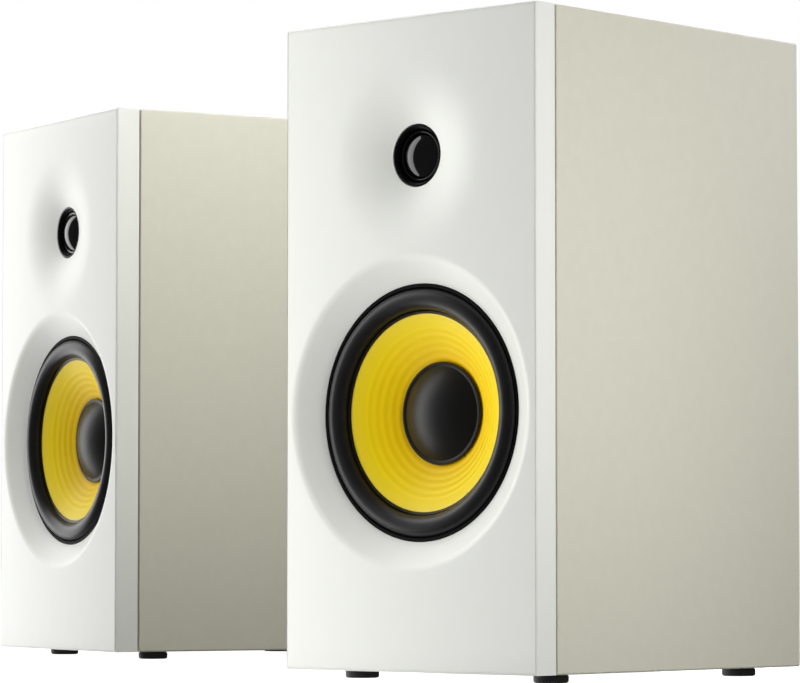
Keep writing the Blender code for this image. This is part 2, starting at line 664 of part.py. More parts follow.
def make_jacks(speaker):
    """Two input sockets: a barrel with a bore, and a coloured ring against the panel."""
    start = PANEL_FACE + GAP
    ring_r, ring_t = JACK_RING
    floor = start + 1 * MM
    for (name, x), look in zip(JACKS.items(), ("white_plastic", "red_plastic")):
        profile = [(0.0, start - JACK_TAIL), (JACK_R, start - JACK_TAIL), (JACK_R, start), (ring_r, start)]
        profile += [(ring_r, start + ring_t), (JACK_R, start + ring_t), (JACK_R, start + JACK_L)]
        profile += [(JACK_BORE_R, start + JACK_L), (JACK_BORE_R, floor), (0.0, floor)]
        turned(f"active_input_jack_{name}", speaker, profile, (x, 0.0, JACK_Z), look, SMALL)


def bezel(name, speaker, size, at):
    """A flange of this width and height on the panel's face."""
    middle = at + Vector((0, BEZEL_T / 2, 0))
    return box(name, speaker, (size[0], BEZEL_T, size[1]), middle, "black_plastic")


def make_inlet(speaker):
    """The mains inlet: a flanged shell with a recess, and two pins in it."""
    at = Vector((INLET_X, PANEL_FACE + GAP, POWER_Z))
    inlet = bezel("active_mains_inlet", speaker, INLET, at)
    shell_at = at + Vector((0, 1 * MM - INLET_SHELL[1] / 2, 0))
    shell = box("cut_inlet_shell", speaker, INLET_SHELL, shell_at)
    recess = box("cut_inlet_recess", speaker, INLET_RECESS, at + Vector((0, -4 * MM, 0)))
    profile = [(0.0, -PIN_L), (PIN_R, -PIN_L), (PIN_R, 0.0), (0.0, 0.0)]
    pins = []
    for i, x in enumerate((-PIN_X, PIN_X)):
        pins.append(turned(f"cut_inlet_pin_{i + 1}", speaker, profile, at + Vector((x, 0, 0)), steps=12))
    joined(inlet, shell)
    cut(inlet, recess)
    joined(inlet, *pins)


def make_switch(speaker):
    """The mains switch: a cup in the panel and a rocker on a pivot across it, at rest with its lower end in."""
    at = Vector((SWITCH_X, PANEL_FACE + GAP, POWER_Z))
    frame = bezel("active_switch_frame", speaker, SWITCH, at)
    cup_at = at + Vector((0, 1 * MM - SWITCH_CUP[1] / 2, 0))
    cup = box("cut_switch_cup", speaker, SWITCH_CUP, cup_at)
    well = box("cut_switch_well", speaker, SWITCH_WELL, at + Vector((0, -2.5 * MM, 0)))
    joined(frame, cup)
    cut(frame, well)
    pivot = at + Vector((0, ROCKER_Y, 0))
    rocker = extruded("active_switch_rocker", speaker, ROCKER, ROCKER_W, pivot, "black_plastic")
    rocker.rotation_euler = (ROCKER_TILT, 0.0, 0.0)


# The passive speaker's crossover


def make_crossover(speaker):
    """The crossover's board with its coil and its capacitor."""
    middle = (0.0, CROSSOVER_Y, CROSSOVER_Z)
    board = box("passive_crossover_board", speaker, CROSSOVER, middle, "circuit_board")
    mounted = []
    for name, (x, radius, length) in CROSSOVER_PARTS.items():
        profile = [(0.0, -length), (radius, -length), (radius, 0.0), (0.0, 0.0)]
        at = (x, CROSSOVER_Y, CROSSOVER_Z)
        mounted.append(turned(f"cut_crossover_{name}", speaker, profile, at, steps=SMALL))
    joined(board, *mounted)


# The pair


def footprint(x, y, turn):
    """The corners of a cabinet that stands with its front's middle at (x, y), turned about z."""
    corners = [(sx * CABINET_W / 2, d) for sx in (-1, 1) for d in (0.0, CABINET_D)]
    c, s = math.cos(turn), math.sin(turn)
    return [(x + a * c - b * s, y + a * s + b * c) for a, b in corners]


def pair_middle():
    """The middle of the pair's box, measured from the middle of the active front."""
    corners = footprint(0.0, 0.0, 0.0) + footprint(-SPACING, SET_BACK, -TOE_OUT)
    xs, ys = zip(*corners)
    return (min(xs) + max(xs)) / 2, (min(ys) + max(ys)) / 2


def stand(name, x, y, turn):
    """The empty that carries one speaker, at the foot of its front's middle line."""
    middle = pair_middle()
    holder = bpy.data.objects.new(name, None)
    holder.location = (x - middle[0], y - middle[1], FOOT_H)
    holder.rotation_euler = (0.0, 0.0, turn)
    PARTS.objects.link(holder)
    return holder


def make_shared(prefix, speaker):
    make_sleeve(prefix, speaker)
    make_baffle(prefix, speaker)
    make_port(prefix, speaker)
    make_feet(prefix, speaker)
    make_woofer(prefix, speaker)
    make_tweeter(prefix, speaker)


def make_active():
    speaker = stand("active_speaker", 0.0, 0.0, 0.0)
    make_shared("active", speaker)
    make_rear_board("active", speaker, (PANEL_W - 2 * PANEL_LAP, PANEL_H - 2 * PANEL_LAP), (0.0, PANEL_Z))
    make_panel(speaker)
    make_knobs(speaker)
    make_board(speaker)
    make_transformer(speaker)
    make_jacks(speaker)
    make_inlet(speaker)
    make_switch(speaker)
    make_terminals("active", speaker, ACTIVE_TERMINAL)


def make_passive():
    speaker = stand("passive_speaker", -SPACING, SET_BACK, -TOE_OUT)
    make_shared("passive", speaker)
    opening_at = (PASSIVE_TERMINAL.x, PASSIVE_TERMINAL.z)
    make_rear_board("passive", speaker, TERMINAL_WINDOW, opening_at)
    make_terminals("passive", speaker, PASSIVE_TERMINAL)
    make_crossover(speaker)


def settle_shapes():
    """Makes each part's modifiers its own mesh, smooth with its sharp edges kept."""
    bpy.context.view_layer.update()
    graph = bpy.context.evaluated_depsgraph_get()
    made = {}
    for obj in PARTS.objects:
        if obj.type == "MESH":
            made[obj] = bpy.data.meshes.new_from_object(obj.evaluated_get(graph))
    for obj, mesh in made.items():
        obj.modifiers.clear()
        obj.data = mesh
        mesh.shade_smooth()
        mesh.set_sharp_from_angle(angle=SHARP)


make_active()
make_passive()
settle_shapes()
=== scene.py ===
"""Looks for the pair of desktop loudspeakers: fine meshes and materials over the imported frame.

Each speaker is modelled in its own frame, as the CAD is: x across the front to the right, y from the front
face backwards, z up from the cabinet's base. Both speakers share the same functions, and each is then set in
its place.
"""
import json
import math

import bmesh
import bpy
import numpy as np
from mathutils import Matrix, Vector

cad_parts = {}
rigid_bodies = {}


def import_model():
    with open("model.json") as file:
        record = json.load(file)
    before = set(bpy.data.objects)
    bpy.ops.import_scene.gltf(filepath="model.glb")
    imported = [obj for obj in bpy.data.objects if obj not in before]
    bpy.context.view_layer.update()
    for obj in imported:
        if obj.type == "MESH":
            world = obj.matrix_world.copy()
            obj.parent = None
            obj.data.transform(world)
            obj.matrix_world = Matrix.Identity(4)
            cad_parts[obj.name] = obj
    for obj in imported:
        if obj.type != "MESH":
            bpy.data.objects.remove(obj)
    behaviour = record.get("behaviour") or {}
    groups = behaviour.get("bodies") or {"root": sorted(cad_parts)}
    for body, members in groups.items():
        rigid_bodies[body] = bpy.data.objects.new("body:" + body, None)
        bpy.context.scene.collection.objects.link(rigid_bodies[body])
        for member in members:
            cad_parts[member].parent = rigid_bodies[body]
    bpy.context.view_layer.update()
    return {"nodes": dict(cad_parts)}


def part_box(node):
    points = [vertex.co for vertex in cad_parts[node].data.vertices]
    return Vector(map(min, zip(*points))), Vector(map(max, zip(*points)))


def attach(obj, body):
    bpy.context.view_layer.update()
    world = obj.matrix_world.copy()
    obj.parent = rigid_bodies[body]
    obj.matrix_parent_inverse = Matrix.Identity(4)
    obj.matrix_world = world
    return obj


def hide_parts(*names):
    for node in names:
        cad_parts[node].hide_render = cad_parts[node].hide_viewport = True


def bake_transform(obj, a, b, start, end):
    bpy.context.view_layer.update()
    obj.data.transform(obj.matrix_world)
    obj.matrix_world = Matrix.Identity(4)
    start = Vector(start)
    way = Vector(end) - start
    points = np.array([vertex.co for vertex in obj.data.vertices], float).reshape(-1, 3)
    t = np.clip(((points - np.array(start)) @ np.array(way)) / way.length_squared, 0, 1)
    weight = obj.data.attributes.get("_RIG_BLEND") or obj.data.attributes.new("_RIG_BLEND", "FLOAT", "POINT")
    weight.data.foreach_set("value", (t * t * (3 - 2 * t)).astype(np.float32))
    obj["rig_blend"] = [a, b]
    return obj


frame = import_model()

MM = 0.001
TOE_OUT = math.radians(18)  # how far the passive speaker is turned outwards


# Places, all from the frame

def middle_of(node):
    low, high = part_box(node)
    return (low + high) / 2


SLEEVE_LOW, SLEEVE_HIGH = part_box("active_cabinet_sleeve")
BAFFLE_LOW, BAFFLE_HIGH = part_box("active_baffle")
ORIGIN = Vector((middle_of("active_cabinet_sleeve").x, BAFFLE_LOW.y, SLEEVE_LOW.z))
HALF_W = (SLEEVE_HIGH.x - SLEEVE_LOW.x) / 2
HEIGHT = SLEEVE_HIGH.z - SLEEVE_LOW.z
DEPTH = SLEEVE_HIGH.y - ORIGIN.y
SLEEVE_Y = SLEEVE_LOW.y - ORIGIN.y
GROOVE = 0.8 * MM  # the shadow gap between the baffle and the sleeve
BAFFLE_T = SLEEVE_Y - GROOVE
WALL = 9 * MM
GAP = 0.3 * MM  # clearance between neighbours


def passive_matrix():
    """Where the passive speaker's own frame stands, from the middle of its sleeve."""
    turn = Matrix.Rotation(-TOE_OUT, 4, "Z")
    middle = middle_of("passive_cabinet_sleeve")
    own = Vector((0.0, (SLEEVE_Y + DEPTH) / 2, HEIGHT / 2))
    return Matrix.Translation(middle - turn @ own) @ turn


SPEAKERS = {"active": Matrix.Translation(ORIGIN), "passive": passive_matrix()}


def own_box(node):
    """A node's box in the active speaker's own frame, which serves both speakers' shared nodes."""
    low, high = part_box("active_" + node)
    return low - ORIGIN, high - ORIGIN


def own_middle(node):
    low, high = own_box(node)
    return (low + high) / 2


def radius_of(node):
    low, high = own_box(node)
    return (high.x - low.x) / 2


WOOFER_Z = own_middle("woofer_surround").z
TWEETER_Z = own_middle("tweeter_face").z


# Shapes

def finished(mesh, sharp=30):
    mesh.shade_smooth()
    mesh.set_sharp_from_angle(angle=math.radians(sharp))
    return mesh


def skin(rings, closed, caps=(False, False)):
    """A mesh through rings of equally many points. A ring of one point is a pole."""
    verts, starts = [], []
    for ring in rings:
        starts.append(len(verts))
        verts.extend(ring)
    count = max(len(ring) for ring in rings)
    faces = []
    pairs = list(zip(range(len(rings)), range(1, len(rings))))
    if closed:
        pairs.append((len(rings) - 1, 0))
    for a, b in pairs:
        for j in range(count):
            k = (j + 1) % count
            corners = []
            for ring, step in ((a, j), (a, k), (b, k), (b, j)):
                corner = starts[ring] + (step if len(rings[ring]) > 1 else 0)
                if corner not in corners:
                    corners.append(corner)
            if len(corners) > 2:
                faces.append(corners)
    if caps[0]:
        faces.append([starts[0] + j for j in range(count)][::-1])
    if caps[1]:
        faces.append([starts[-1] + j for j in range(count)])
    mesh = bpy.data.meshes.new("skin")
    mesh.from_pydata(verts, [], faces)
    return mesh


def lathe(profile, at=(0.0, 0.0), steps=128, closed=True, wave=None, sharp=30):
    """(radius, depth) points turned about the y axis through x, z. wave(radius, depth, angle) may shift a
    point. The outer side runs from back to front, then the front face inwards."""
    if closed:
        ring = list(zip(profile, profile[1:] + profile[:1]))
        if sum(a[0] * b[1] - b[0] * a[1] for a, b in ring) > 0:
            profile = profile[::-1]
    on_axis = [i for i, point in enumerate(profile) if point[0] == 0.0]
    if closed and on_axis:
        after = (on_axis[0] + 1) % len(profile)
        turn = after if after in on_axis else on_axis[0]
        profile = profile[turn:] + profile[:turn]
        closed = False
    rings = []
    for radius, depth in profile:
        if radius == 0.0:
            rings.append([(at[0], depth, at[1])])
            continue
        ring = []
        for i in range(steps):
            angle = 2 * math.pi * i / steps
            r, d = wave(radius, depth, angle) if wave else (radius, depth)
            ring.append((at[0] + r * math.cos(angle), d, at[1] + r * math.sin(angle)))
        rings.append(ring)
    return finished(skin(rings, closed), sharp)


def rounded(half_w, half_h, corner, per=6):
    """The outline of a rounded rectangle about (0, 0), anticlockwise from its right side's foot."""
    corner = max(corner, 1e-6)
    points = []
    for i, (sx, sz) in enumerate(((1, 1), (-1, 1), (-1, -1), (1, -1))):
        for j in range(per + 1):
            angle = math.pi / 2 * (i + j / per)
            x = sx * (half_w - corner) + corner * math.cos(angle)
            z = sz * (half_h - corner) + corner * math.sin(angle)
            points.append((x, z))
    return points


def loft(loops, at, closed=False, caps=(False, False), per=6, sharp=30):
    """Rounded rectangles (half width, half height, corner, depth) about x, z, skinned in turn."""
    rings = []
    for half_w, half_h, corner, depth in loops:
        rings.append([(at[0] + x, depth, at[1] + z) for x, z in rounded(half_w, half_h, corner, per)])
    return finished(skin(rings, closed, caps), sharp)


def stepped(half_w, half_h, corner, profile):
    """Loops for loft from (inset, depth) points, the corner shrinking as the outline does."""
    return [(half_w - inset, half_h - inset, max(corner - inset, 0.0), depth) for inset, depth in profile]


def arc(middle, radii, start, end, count):
    """Points on an ellipse, from one angle in degrees to another."""
    angles = [math.radians(start + (end - start) * i / count) for i in range(count + 1)]
    return [(middle[0] + radii[0] * math.cos(a), middle[1] + radii[1] * math.sin(a)) for a in angles]


def dome(rim_r, rim_y, rise, count):
    """A spherical cap's points from its rim in to the axis."""
    sphere_r = (rim_r**2 + rise**2) / (2 * rise)
    spread = math.asin(rim_r / sphere_r)
    points = []
    for i in range(count, -1, -1):
        angle = spread * i / count
        radius = sphere_r * math.sin(angle) if i else 0.0
        points.append((radius, rim_y - rise + sphere_r * (1 - math.cos(angle))))
    return points


def block(size, at, edge=0.3 * MM):
    """A box about a point with rounded edges."""
    bm = bmesh.new()
    bmesh.ops.create_cube(bm, size=1.0, matrix=Matrix.Translation(at) @ Matrix.Diagonal((*size, 1.0)))
    if edge:
        bmesh.ops.bevel(bm, geom=bm.edges[:], offset=edge, segments=3, profile=0.5, affect="EDGES")
    return from_bmesh(bm)


def from_bmesh(bm, sharp=30):
    mesh = bpy.data.meshes.new("shape")
    bm.to_mesh(mesh)
    bm.free()
    return finished(mesh, sharp)


def extruded(outline, width, at, edge):
    """An outline of (y, z) points about a point, extruded along x and with its edges rounded."""
    bm = bmesh.new()
    face = bm.faces.new([bm.verts.new((at[0] - width / 2, at[1] + y, at[2] + z)) for y, z in outline])
    pushed = bmesh.ops.extrude_face_region(bm, geom=[face])["geom"]
    moved = [v for v in pushed if isinstance(v, bmesh.types.BMVert)]
    bmesh.ops.translate(bm, vec=(width, 0.0, 0.0), verts=moved)
    bmesh.ops.recalc_face_normals(bm, faces=bm.faces)
    bmesh.ops.bevel(bm, geom=bm.edges[:], offset=edge, segments=3, profile=0.5, affect="EDGES")
    return from_bmesh(bm)


def merged(meshes):
    """Several meshes as one."""
    bm = bmesh.new()
    for mesh in meshes:
        bm.from_mesh(mesh)
    return from_bmesh(bm)


def softened(base, face):
    """The profile of a plate's edge: up from its base and softly over onto its face."""
    return [(0.0, base), (0.0, face - 0.5 * MM), (0.15 * MM, face - 0.15 * MM), (0.5 * MM, face)]


def smooth_step(t):
    t = min(max(t, 0.0), 1.0)
    return t * t * (3 - 2 * t)


# Materials

def shader(name, colour, roughness, metallic=0.0, **sockets):
    """A new material and its Principled shader, with these values on its own sockets."""
    material = bpy.data.materials.new(name)
    material.use_nodes = True
    principled = material.node_tree.nodes["Principled BSDF"]
    principled.inputs["Base Color"].default_value = (*colour, 1.0)
    principled.inputs["Roughness"].default_value = roughness
    principled.inputs["Metallic"].default_value = metallic
    for socket, value in sockets.items():
        principled.inputs[socket.replace("_", " ")].default_value = value
    return material, principled


def node(material, kind, **settings):
    made = material.node_tree.nodes.new(kind)
    for key, value in settings.items():
        if key in made.inputs:
            made.inputs[key].default_value = value
        else:
            setattr(made, key, value)
    return made


def link(material, source, target):
    material.node_tree.links.new(source, target)


def noise(material, scale, detail=3.0, roughness=0.5, stretch=None):
    """Fine noise in the object's own space."""
    place = node(material, "ShaderNodeTexCoord")
    made = node(material, "ShaderNodeTexNoise", Scale=scale, Detail=detail, Roughness=roughness)
    source = place.outputs["Object"]
    if stretch:
        mapping = node(material, "ShaderNodeMapping", Scale=stretch)
        link(material, source, mapping.inputs["Vector"])
        source = mapping.outputs["Vector"]
    link(material, source, made.inputs["Vector"])
    return made.outputs["Fac"]


def ranged(material, source, low, high, start=0.3, end=0.7):
    """The source mapped from start..end to low..high."""
    limits = {"From Min": start, "From Max": end, "To Min": low, "To Max": high}
    made = node(material, "ShaderNodeMapRange", **limits)
    link(material, source, made.inputs["Value"])
    return made.outputs["Result"]


def tinted(material, principled, source, dark, light):
    """Base colour from dark to light by the source."""
    mix = node(material, "ShaderNodeMix", data_type="RGBA")
    colours = [s for s in mix.inputs if s.type == "RGBA"]
    colours[0].default_value = (*dark, 1.0)
    colours[1].default_value = (*light, 1.0)
    link(material, source, mix.inputs["Factor"])
    result = [s for s in mix.outputs if s.type == "RGBA"][0]
    link(material, result, principled.inputs["Base Color"])


def bumped(material, principled, source, distance):
    bump = node(material, "ShaderNodeBump", Strength=1.0, Distance=distance)
    link(material, source, bump.inputs["Height"])
    link(material, bump.outputs["Normal"], principled.inputs["Normal"])


def scaled(colour, factor):
    return tuple(min(1.0, c * factor) for c in colour)


def surface(
    name, colour, roughness, metallic=0.0, grain=900, bump=0.02 * MM, spread=0.04, shade=0.04, **sockets,
):
    """A plain finish with fine grain: noise in its colour, its roughness and its relief."""
    material, principled = shader(name, colour, roughness, metallic, **sockets)
    broad = ranged(material, noise(material, grain / 12, 2.0), 0.0, 1.0)
    tinted(material, principled, broad, scaled(colour, 1 - shade), scaled(colour, 1 + shade))
    fine = noise(material, grain, 3.0)
    gloss = ranged(material, fine, roughness - spread, roughness + spread)
    link(material, gloss, principled.inputs["Roughness"])
    bumped(material, principled, fine, bump)
    return material


def cone_material():
    """Moulded yellow cone: deeper towards its neck, its rim paler as a painted sheen, with faint turning
    marks.
    """
    material, principled = shader("yellow_cone", (0.98, 0.70, 0.004), 0.4, Specular_IOR_Level=0.15)
    place = node(material, "ShaderNodeTexCoord")
    axis = node(material, "ShaderNodeVectorMath", operation="SUBTRACT")
    axis.inputs[1].default_value = (0.0, 0.0, WOOFER_Z)
    link(material, place.outputs["Object"], axis.inputs[0])
    flat = node(material, "ShaderNodeVectorMath", operation="MULTIPLY")
    flat.inputs[1].default_value = (1.0, 0.0, 1.0)
    link(material, axis.outputs["Vector"], flat.inputs[0])
    radius = node(material, "ShaderNodeVectorMath", operation="LENGTH")
    link(material, flat.outputs["Vector"], radius.inputs[0])
    out = radius.outputs["Value"]
    ramp = node(material, "ShaderNodeValToRGB")
    # Colours across the cone: a deeper orange at the neck, and a paler, bluer rim that is a painted sheen
    tone_and_sheen_stops = (
        (0.0, (0.98, 0.58, 0.002)), (0.35, (0.98, 0.67, 0.002)),
        (0.75, (0.98, 0.73, 0.005)), (1.0, (0.96, 0.74, 0.03)),
    )
    elements = ramp.color_ramp.elements
    while len(elements) < len(tone_and_sheen_stops):
        elements.new(0.5)
    for element, (position, colour) in zip(elements, tone_and_sheen_stops):
        element.position = position
        element.color = (*colour, 1.0)
    neck_r, rim_r = 17 * MM, 36.5 * MM
    link(material, ranged(material, out, 0.0, 1.0, neck_r, rim_r), ramp.inputs["Fac"])
    link(material, ramp.outputs["Color"], principled.inputs["Base Color"])
    marks = node(material, "ShaderNodeTexNoise", noise_dimensions="1D", Scale=2200.0, Detail=2.0)
    link(material, out, marks.inputs["W"])
    fine = noise(material, 1400, 2.0)
    both = node(material, "ShaderNodeMath", operation="ADD")
    link(material, marks.outputs["Fac"], both.inputs[0])
    link(material, fine, both.inputs[1])
    bumped(material, principled, both.outputs["Value"], 0.008 * MM)
    link(material, ranged(material, fine, 0.36, 0.46), principled.inputs["Roughness"])
    return material


def weave_material(name, colour, roughness, pitch, depth, **sockets):
    """A coated cloth: two crossed waves under the gloss."""
    material, principled = shader(name, colour, roughness, **sockets)
    place = node(material, "ShaderNodeTexCoord")
    waves = []
    for direction in ("X", "Z"):
        wave = node(material, "ShaderNodeTexWave", wave_type="BANDS", bands_direction=direction)
        wave.inputs["Scale"].default_value = 1.0 / pitch
        wave.inputs["Distortion"].default_value = 0.4
        link(material, place.outputs["Object"], wave.inputs["Vector"])
        waves.append(wave.outputs["Fac"])
    product = node(material, "ShaderNodeMath", operation="MULTIPLY")
    link(material, waves[0], product.inputs[0])
    link(material, waves[1], product.inputs[1])
    bumped(material, principled, product.outputs["Value"], depth)
    gloss = ranged(material, product.outputs["Value"], roughness + 0.04, roughness - 0.04, 0.0, 1.0)
    link(material, gloss, principled.inputs["Roughness"])
    return material


def brushed(name, colour, roughness, stretch, grain=500, bump=0.01 * MM):
    """Metal with fine lines along one direction."""
    material, principled = shader(name, colour, roughness, 1.0)
    lines = noise(material, grain, 4.0, 0.6, stretch)
    tinted(material, principled, ranged(material, lines, 0.0, 1.0), scaled(colour, 0.85), scaled(colour, 1.1))
    gloss = ranged(material, lines, roughness - 0.06, roughness + 0.08)
    link(material, gloss, principled.inputs["Roughness"])
    bumped(material, principled, lines, bump)
    return material


def vinyl(name, colour, roughness):
    """Leather-grained film: cells with soft creases, with painted light on the cells' middles and painted
    shade in the creases.
    """
    material, principled = shader(name, colour, roughness)
    place = node(material, "ShaderNodeTexCoord")
    cells = node(material, "ShaderNodeTexVoronoi", feature="SMOOTH_F1", Scale=900.0)
    link(material, place.outputs["Object"], cells.inputs["Vector"])
    # The relief's mask as a tint: the cells' middles painted lighter and the creases painted darker, as
    # painted light and shade
    grain_light_and_shade = ranged(material, cells.outputs["Distance"], 0.0, 1.0, 0.0, 0.6)
    tinted(material, principled, grain_light_and_shade, scaled(colour, 1.15), scaled(colour, 0.75))
    bumped(material, principled, cells.outputs["Distance"], 0.05 * MM)
    return material


SURFACES = {  # name: colour, roughness, then the grain per metre, its relief and its variation
    "white_shell": ((0.80, 0.81, 0.76), 0.42, dict(grain=1500, bump=0.004 * MM, spread=0.03, shade=0.006)),
    "beige_wrap": ((0.66, 0.645, 0.535), 0.48, dict(grain=2200, bump=0.012 * MM, spread=0.05, shade=0.012)),
    "black_rubber": ((0.006, 0.006, 0.0065), 0.38, dict(
        grain=1800, bump=0.012 * MM, shade=0.2, Specular_IOR_Level=0.4)),
    "foot_rubber": ((0.016, 0.016, 0.017), 0.62, dict(grain=1500, bump=0.03 * MM, shade=0.25)),
    "gasket_foam": ((0.002, 0.002, 0.002), 0.6, dict(
        grain=2000, bump=0.02 * MM, shade=0.2, Specular_IOR_Level=0.1)),
    "glue_bead": ((0.003, 0.003, 0.003), 0.1, dict(grain=600, bump=0.02 * MM, Specular_IOR_Level=0.3)),
    "silk_dome": ((0.001, 0.001, 0.001), 0.07, dict(grain=500, bump=0.001 * MM, spread=0.015)),
    "black_gloss": ((0.002, 0.002, 0.002), 0.25, dict(grain=1200, bump=0.004 * MM, Specular_IOR_Level=0.15)),
    "black_plastic": ((0.018, 0.018, 0.019), 0.45, dict(grain=1600, bump=0.025 * MM, shade=0.2)),
    "red_plastic": ((0.42, 0.015, 0.012), 0.38, dict(grain=1500, bump=0.015 * MM)),
    "white_plastic": ((0.72, 0.71, 0.68), 0.38, dict(grain=1500, bump=0.015 * MM)),
    "white_print": ((0.7, 0.7, 0.68), 0.6, dict(grain=900, bump=0.005 * MM)),
    "panel_paint": ((0.022, 0.022, 0.024), 0.5, dict(grain=1900, bump=0.05 * MM, spread=0.08, shade=0.25)),
    "basket_paint": ((0.03, 0.03, 0.032), 0.45, dict(grain=1400, bump=0.03 * MM)),
    "screw_black": ((0.03, 0.03, 0.03), 0.3, dict(metallic=0.7, grain=900, bump=0.01 * MM)),
    "ferrite": ((0.04, 0.04, 0.045), 0.6, dict(grain=1300, bump=0.05 * MM, shade=0.15)),
    "circuit_board": ((0.02, 0.14, 0.06), 0.35, dict(grain=700, bump=0.03 * MM, shade=0.2)),
}
MATERIALS = {
    name: surface(name, colour, roughness, **finish) for name, (colour, roughness, finish) in SURFACES.items()
}
MATERIALS |= {
    "yellow_cone": cone_material(),
    "dust_cap": weave_material(
        "dust_cap", (0.003, 0.003, 0.0032), 0.36, 0.5 * MM, 0.003 * MM, Specular_IOR_Level=0.4),
    "treated_cloth": weave_material("treated_cloth", (0.38, 0.24, 0.08), 0.8, 0.6 * MM, 0.1 * MM),
    "black_vinyl": vinyl("black_vinyl", (0.03, 0.03, 0.031), 0.55),
    "plated_steel": brushed("plated_steel", (0.62, 0.62, 0.60), 0.3, (1.0, 12.0, 1.0)),
    "nickel": brushed("nickel", (0.72, 0.70, 0.66), 0.16, (1.0, 20.0, 1.0), grain=300, bump=0.003 * MM),
    "copper_coil": brushed("copper_coil", (0.62, 0.27, 0.12), 0.3, (1.0, 30.0, 1.0)),
}


# Pieces

def added(name, data):
    """A new object in the scene."""
    obj = bpy.data.objects.new(name, data)
    bpy.context.scene.collection.objects.link(obj)
    return obj


def piece(prefix, name, mesh, material, body=None, replaced=()):
    """Sets a mesh made in a speaker's own frame in its place, riding its body."""
    obj = added(f"{prefix}_{name}", mesh)
    obj.matrix_world = SPEAKERS[prefix]
    mesh.materials.clear()
    mesh.materials.append(MATERIALS[material])
    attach(obj, f"{prefix}_{body}" if body else f"{prefix}_speaker")
    if replaced:
        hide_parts(*[f"{prefix}_{each}" for each in replaced])


# The baffle

HOLE_R = radius_of("woofer_gasket") + GAP
REBATE_Y = 9.3 * MM  # the seat of the woofer's flange
THROAT_R = 11.7 * MM  # the waveguide's throat, around the tweeter
DISH = (57.0 * MM, 1.6 * MM, 0.698)  # the woofer dish's rim, half the width of its rounding, and its slope
GUIDE = (25.5 * MM, 10.5 * MM, 0.36)  # the same for the tweeter's waveguide
DISH_R = DISH[0] + DISH[1]
GUIDE_R = GUIDE[0] + GUIDE[1]
SPLIT_Z = (WOOFER_Z + DISH_R + TWEETER_Z - GUIDE_R) / 2
EDGE_X = 0.4 * MM  # how far the front's edges are rounded: across, up and backwards
EDGE_Z = 1.0 * MM
EDGE_Y = 0.7 * MM
EDGE_STEPS = 5
DISH_STEPS = 34


def dish_depth(radius, rim, blend, slope):
    """The depth of a cone of this slope inside its rim, rounded over to the flat front."""
    inside = rim - radius
    if inside >= blend:
        return slope * inside
    return slope * max(inside + blend, 0.0) ** 2 / (4 * blend)


def front_depth(x, z):
    """How far behind the flat front the baffle's surface lies at a place."""
    depth = dish_depth(math.hypot(x, z - WOOFER_Z), *DISH)
    depth += dish_depth(math.hypot(x, z - TWEETER_Z), *GUIDE)
    side = 1 - (HALF_W - abs(x)) / EDGE_X
    end = 1 - min(z, HEIGHT - z) / EDGE_Z
    rise = min(max(side, end, 0.0), 1.0)
    return depth + EDGE_Y * (1 - math.sqrt(1 - rise * rise))


def spaced(start, end, count, insets):
    """Places from start to end, with extra ones close to both ends."""
    places = [start + (end - start) * i / count for i in range(count + 1)]
    places += [start + i for i in insets] + [end - i for i in insets]
    return sorted(set(round(p, 8) for p in places))


def edge_insets(edge):
    """Places across a rounded edge, and one past it on the flat."""
    quarter = [math.pi / 2 * i / EDGE_STEPS for i in range(1, EDGE_STEPS)]
    return [edge * (1 - math.sin(angle)) for angle in quarter] + [edge * 1.5]


def front_patch(z_low, z_high, centre_z, inner, outer):
    """The front's sheet from a rectangle across the baffle in to a round hole."""
    insets_x = edge_insets(EDGE_X)
    insets_z = edge_insets(EDGE_Z)
    xs = spaced(-HALF_W, HALF_W, 48, insets_x)
    zs = spaced(z_low, z_high, 56, insets_z)
    outline = [(x, z_low) for x in xs[:-1]] + [(HALF_W, z) for z in zs[:-1]]
    outline += [(x, z_high) for x in xs[:0:-1]] + [(-HALF_W, z) for z in zs[:0:-1]]
    inset_low = 1 if z_low == 0.0 else 0
    inset_high = 1 if z_high == HEIGHT else 0
    rings = []
    for dx, dz in zip([0.0] + insets_x, [0.0] + insets_z):
        ring = []
        for x, z in outline:
            x = min(max(x, -HALF_W + dx), HALF_W - dx)
            z = min(max(z, z_low + dz * inset_low), z_high - dz * inset_high)
            ring.append((x, z))
        rings.append(ring)
    last = rings[-1]
    spokes = []
    for x, z in last:
        length = math.hypot(x, z - centre_z)
        spokes.append((x / length, (z - centre_z) / length))
    circle = [(outer * a, centre_z + outer * b) for a, b in spokes]
    for i in range(1, 6):
        share = i / 5
        between = [(p[0] + (q[0] - p[0]) * share, p[1] + (q[1] - p[1]) * share) for p, q in zip(last, circle)]
        rings.append(between)
    for i in range(1, DISH_STEPS + 1):
        radius = outer + (inner - outer) * i / DISH_STEPS
        rings.append([(radius * a, centre_z + radius * b) for a, b in spokes])
    return skin([[(x, front_depth(x, z), z) for x, z in ring] for ring in rings], False)


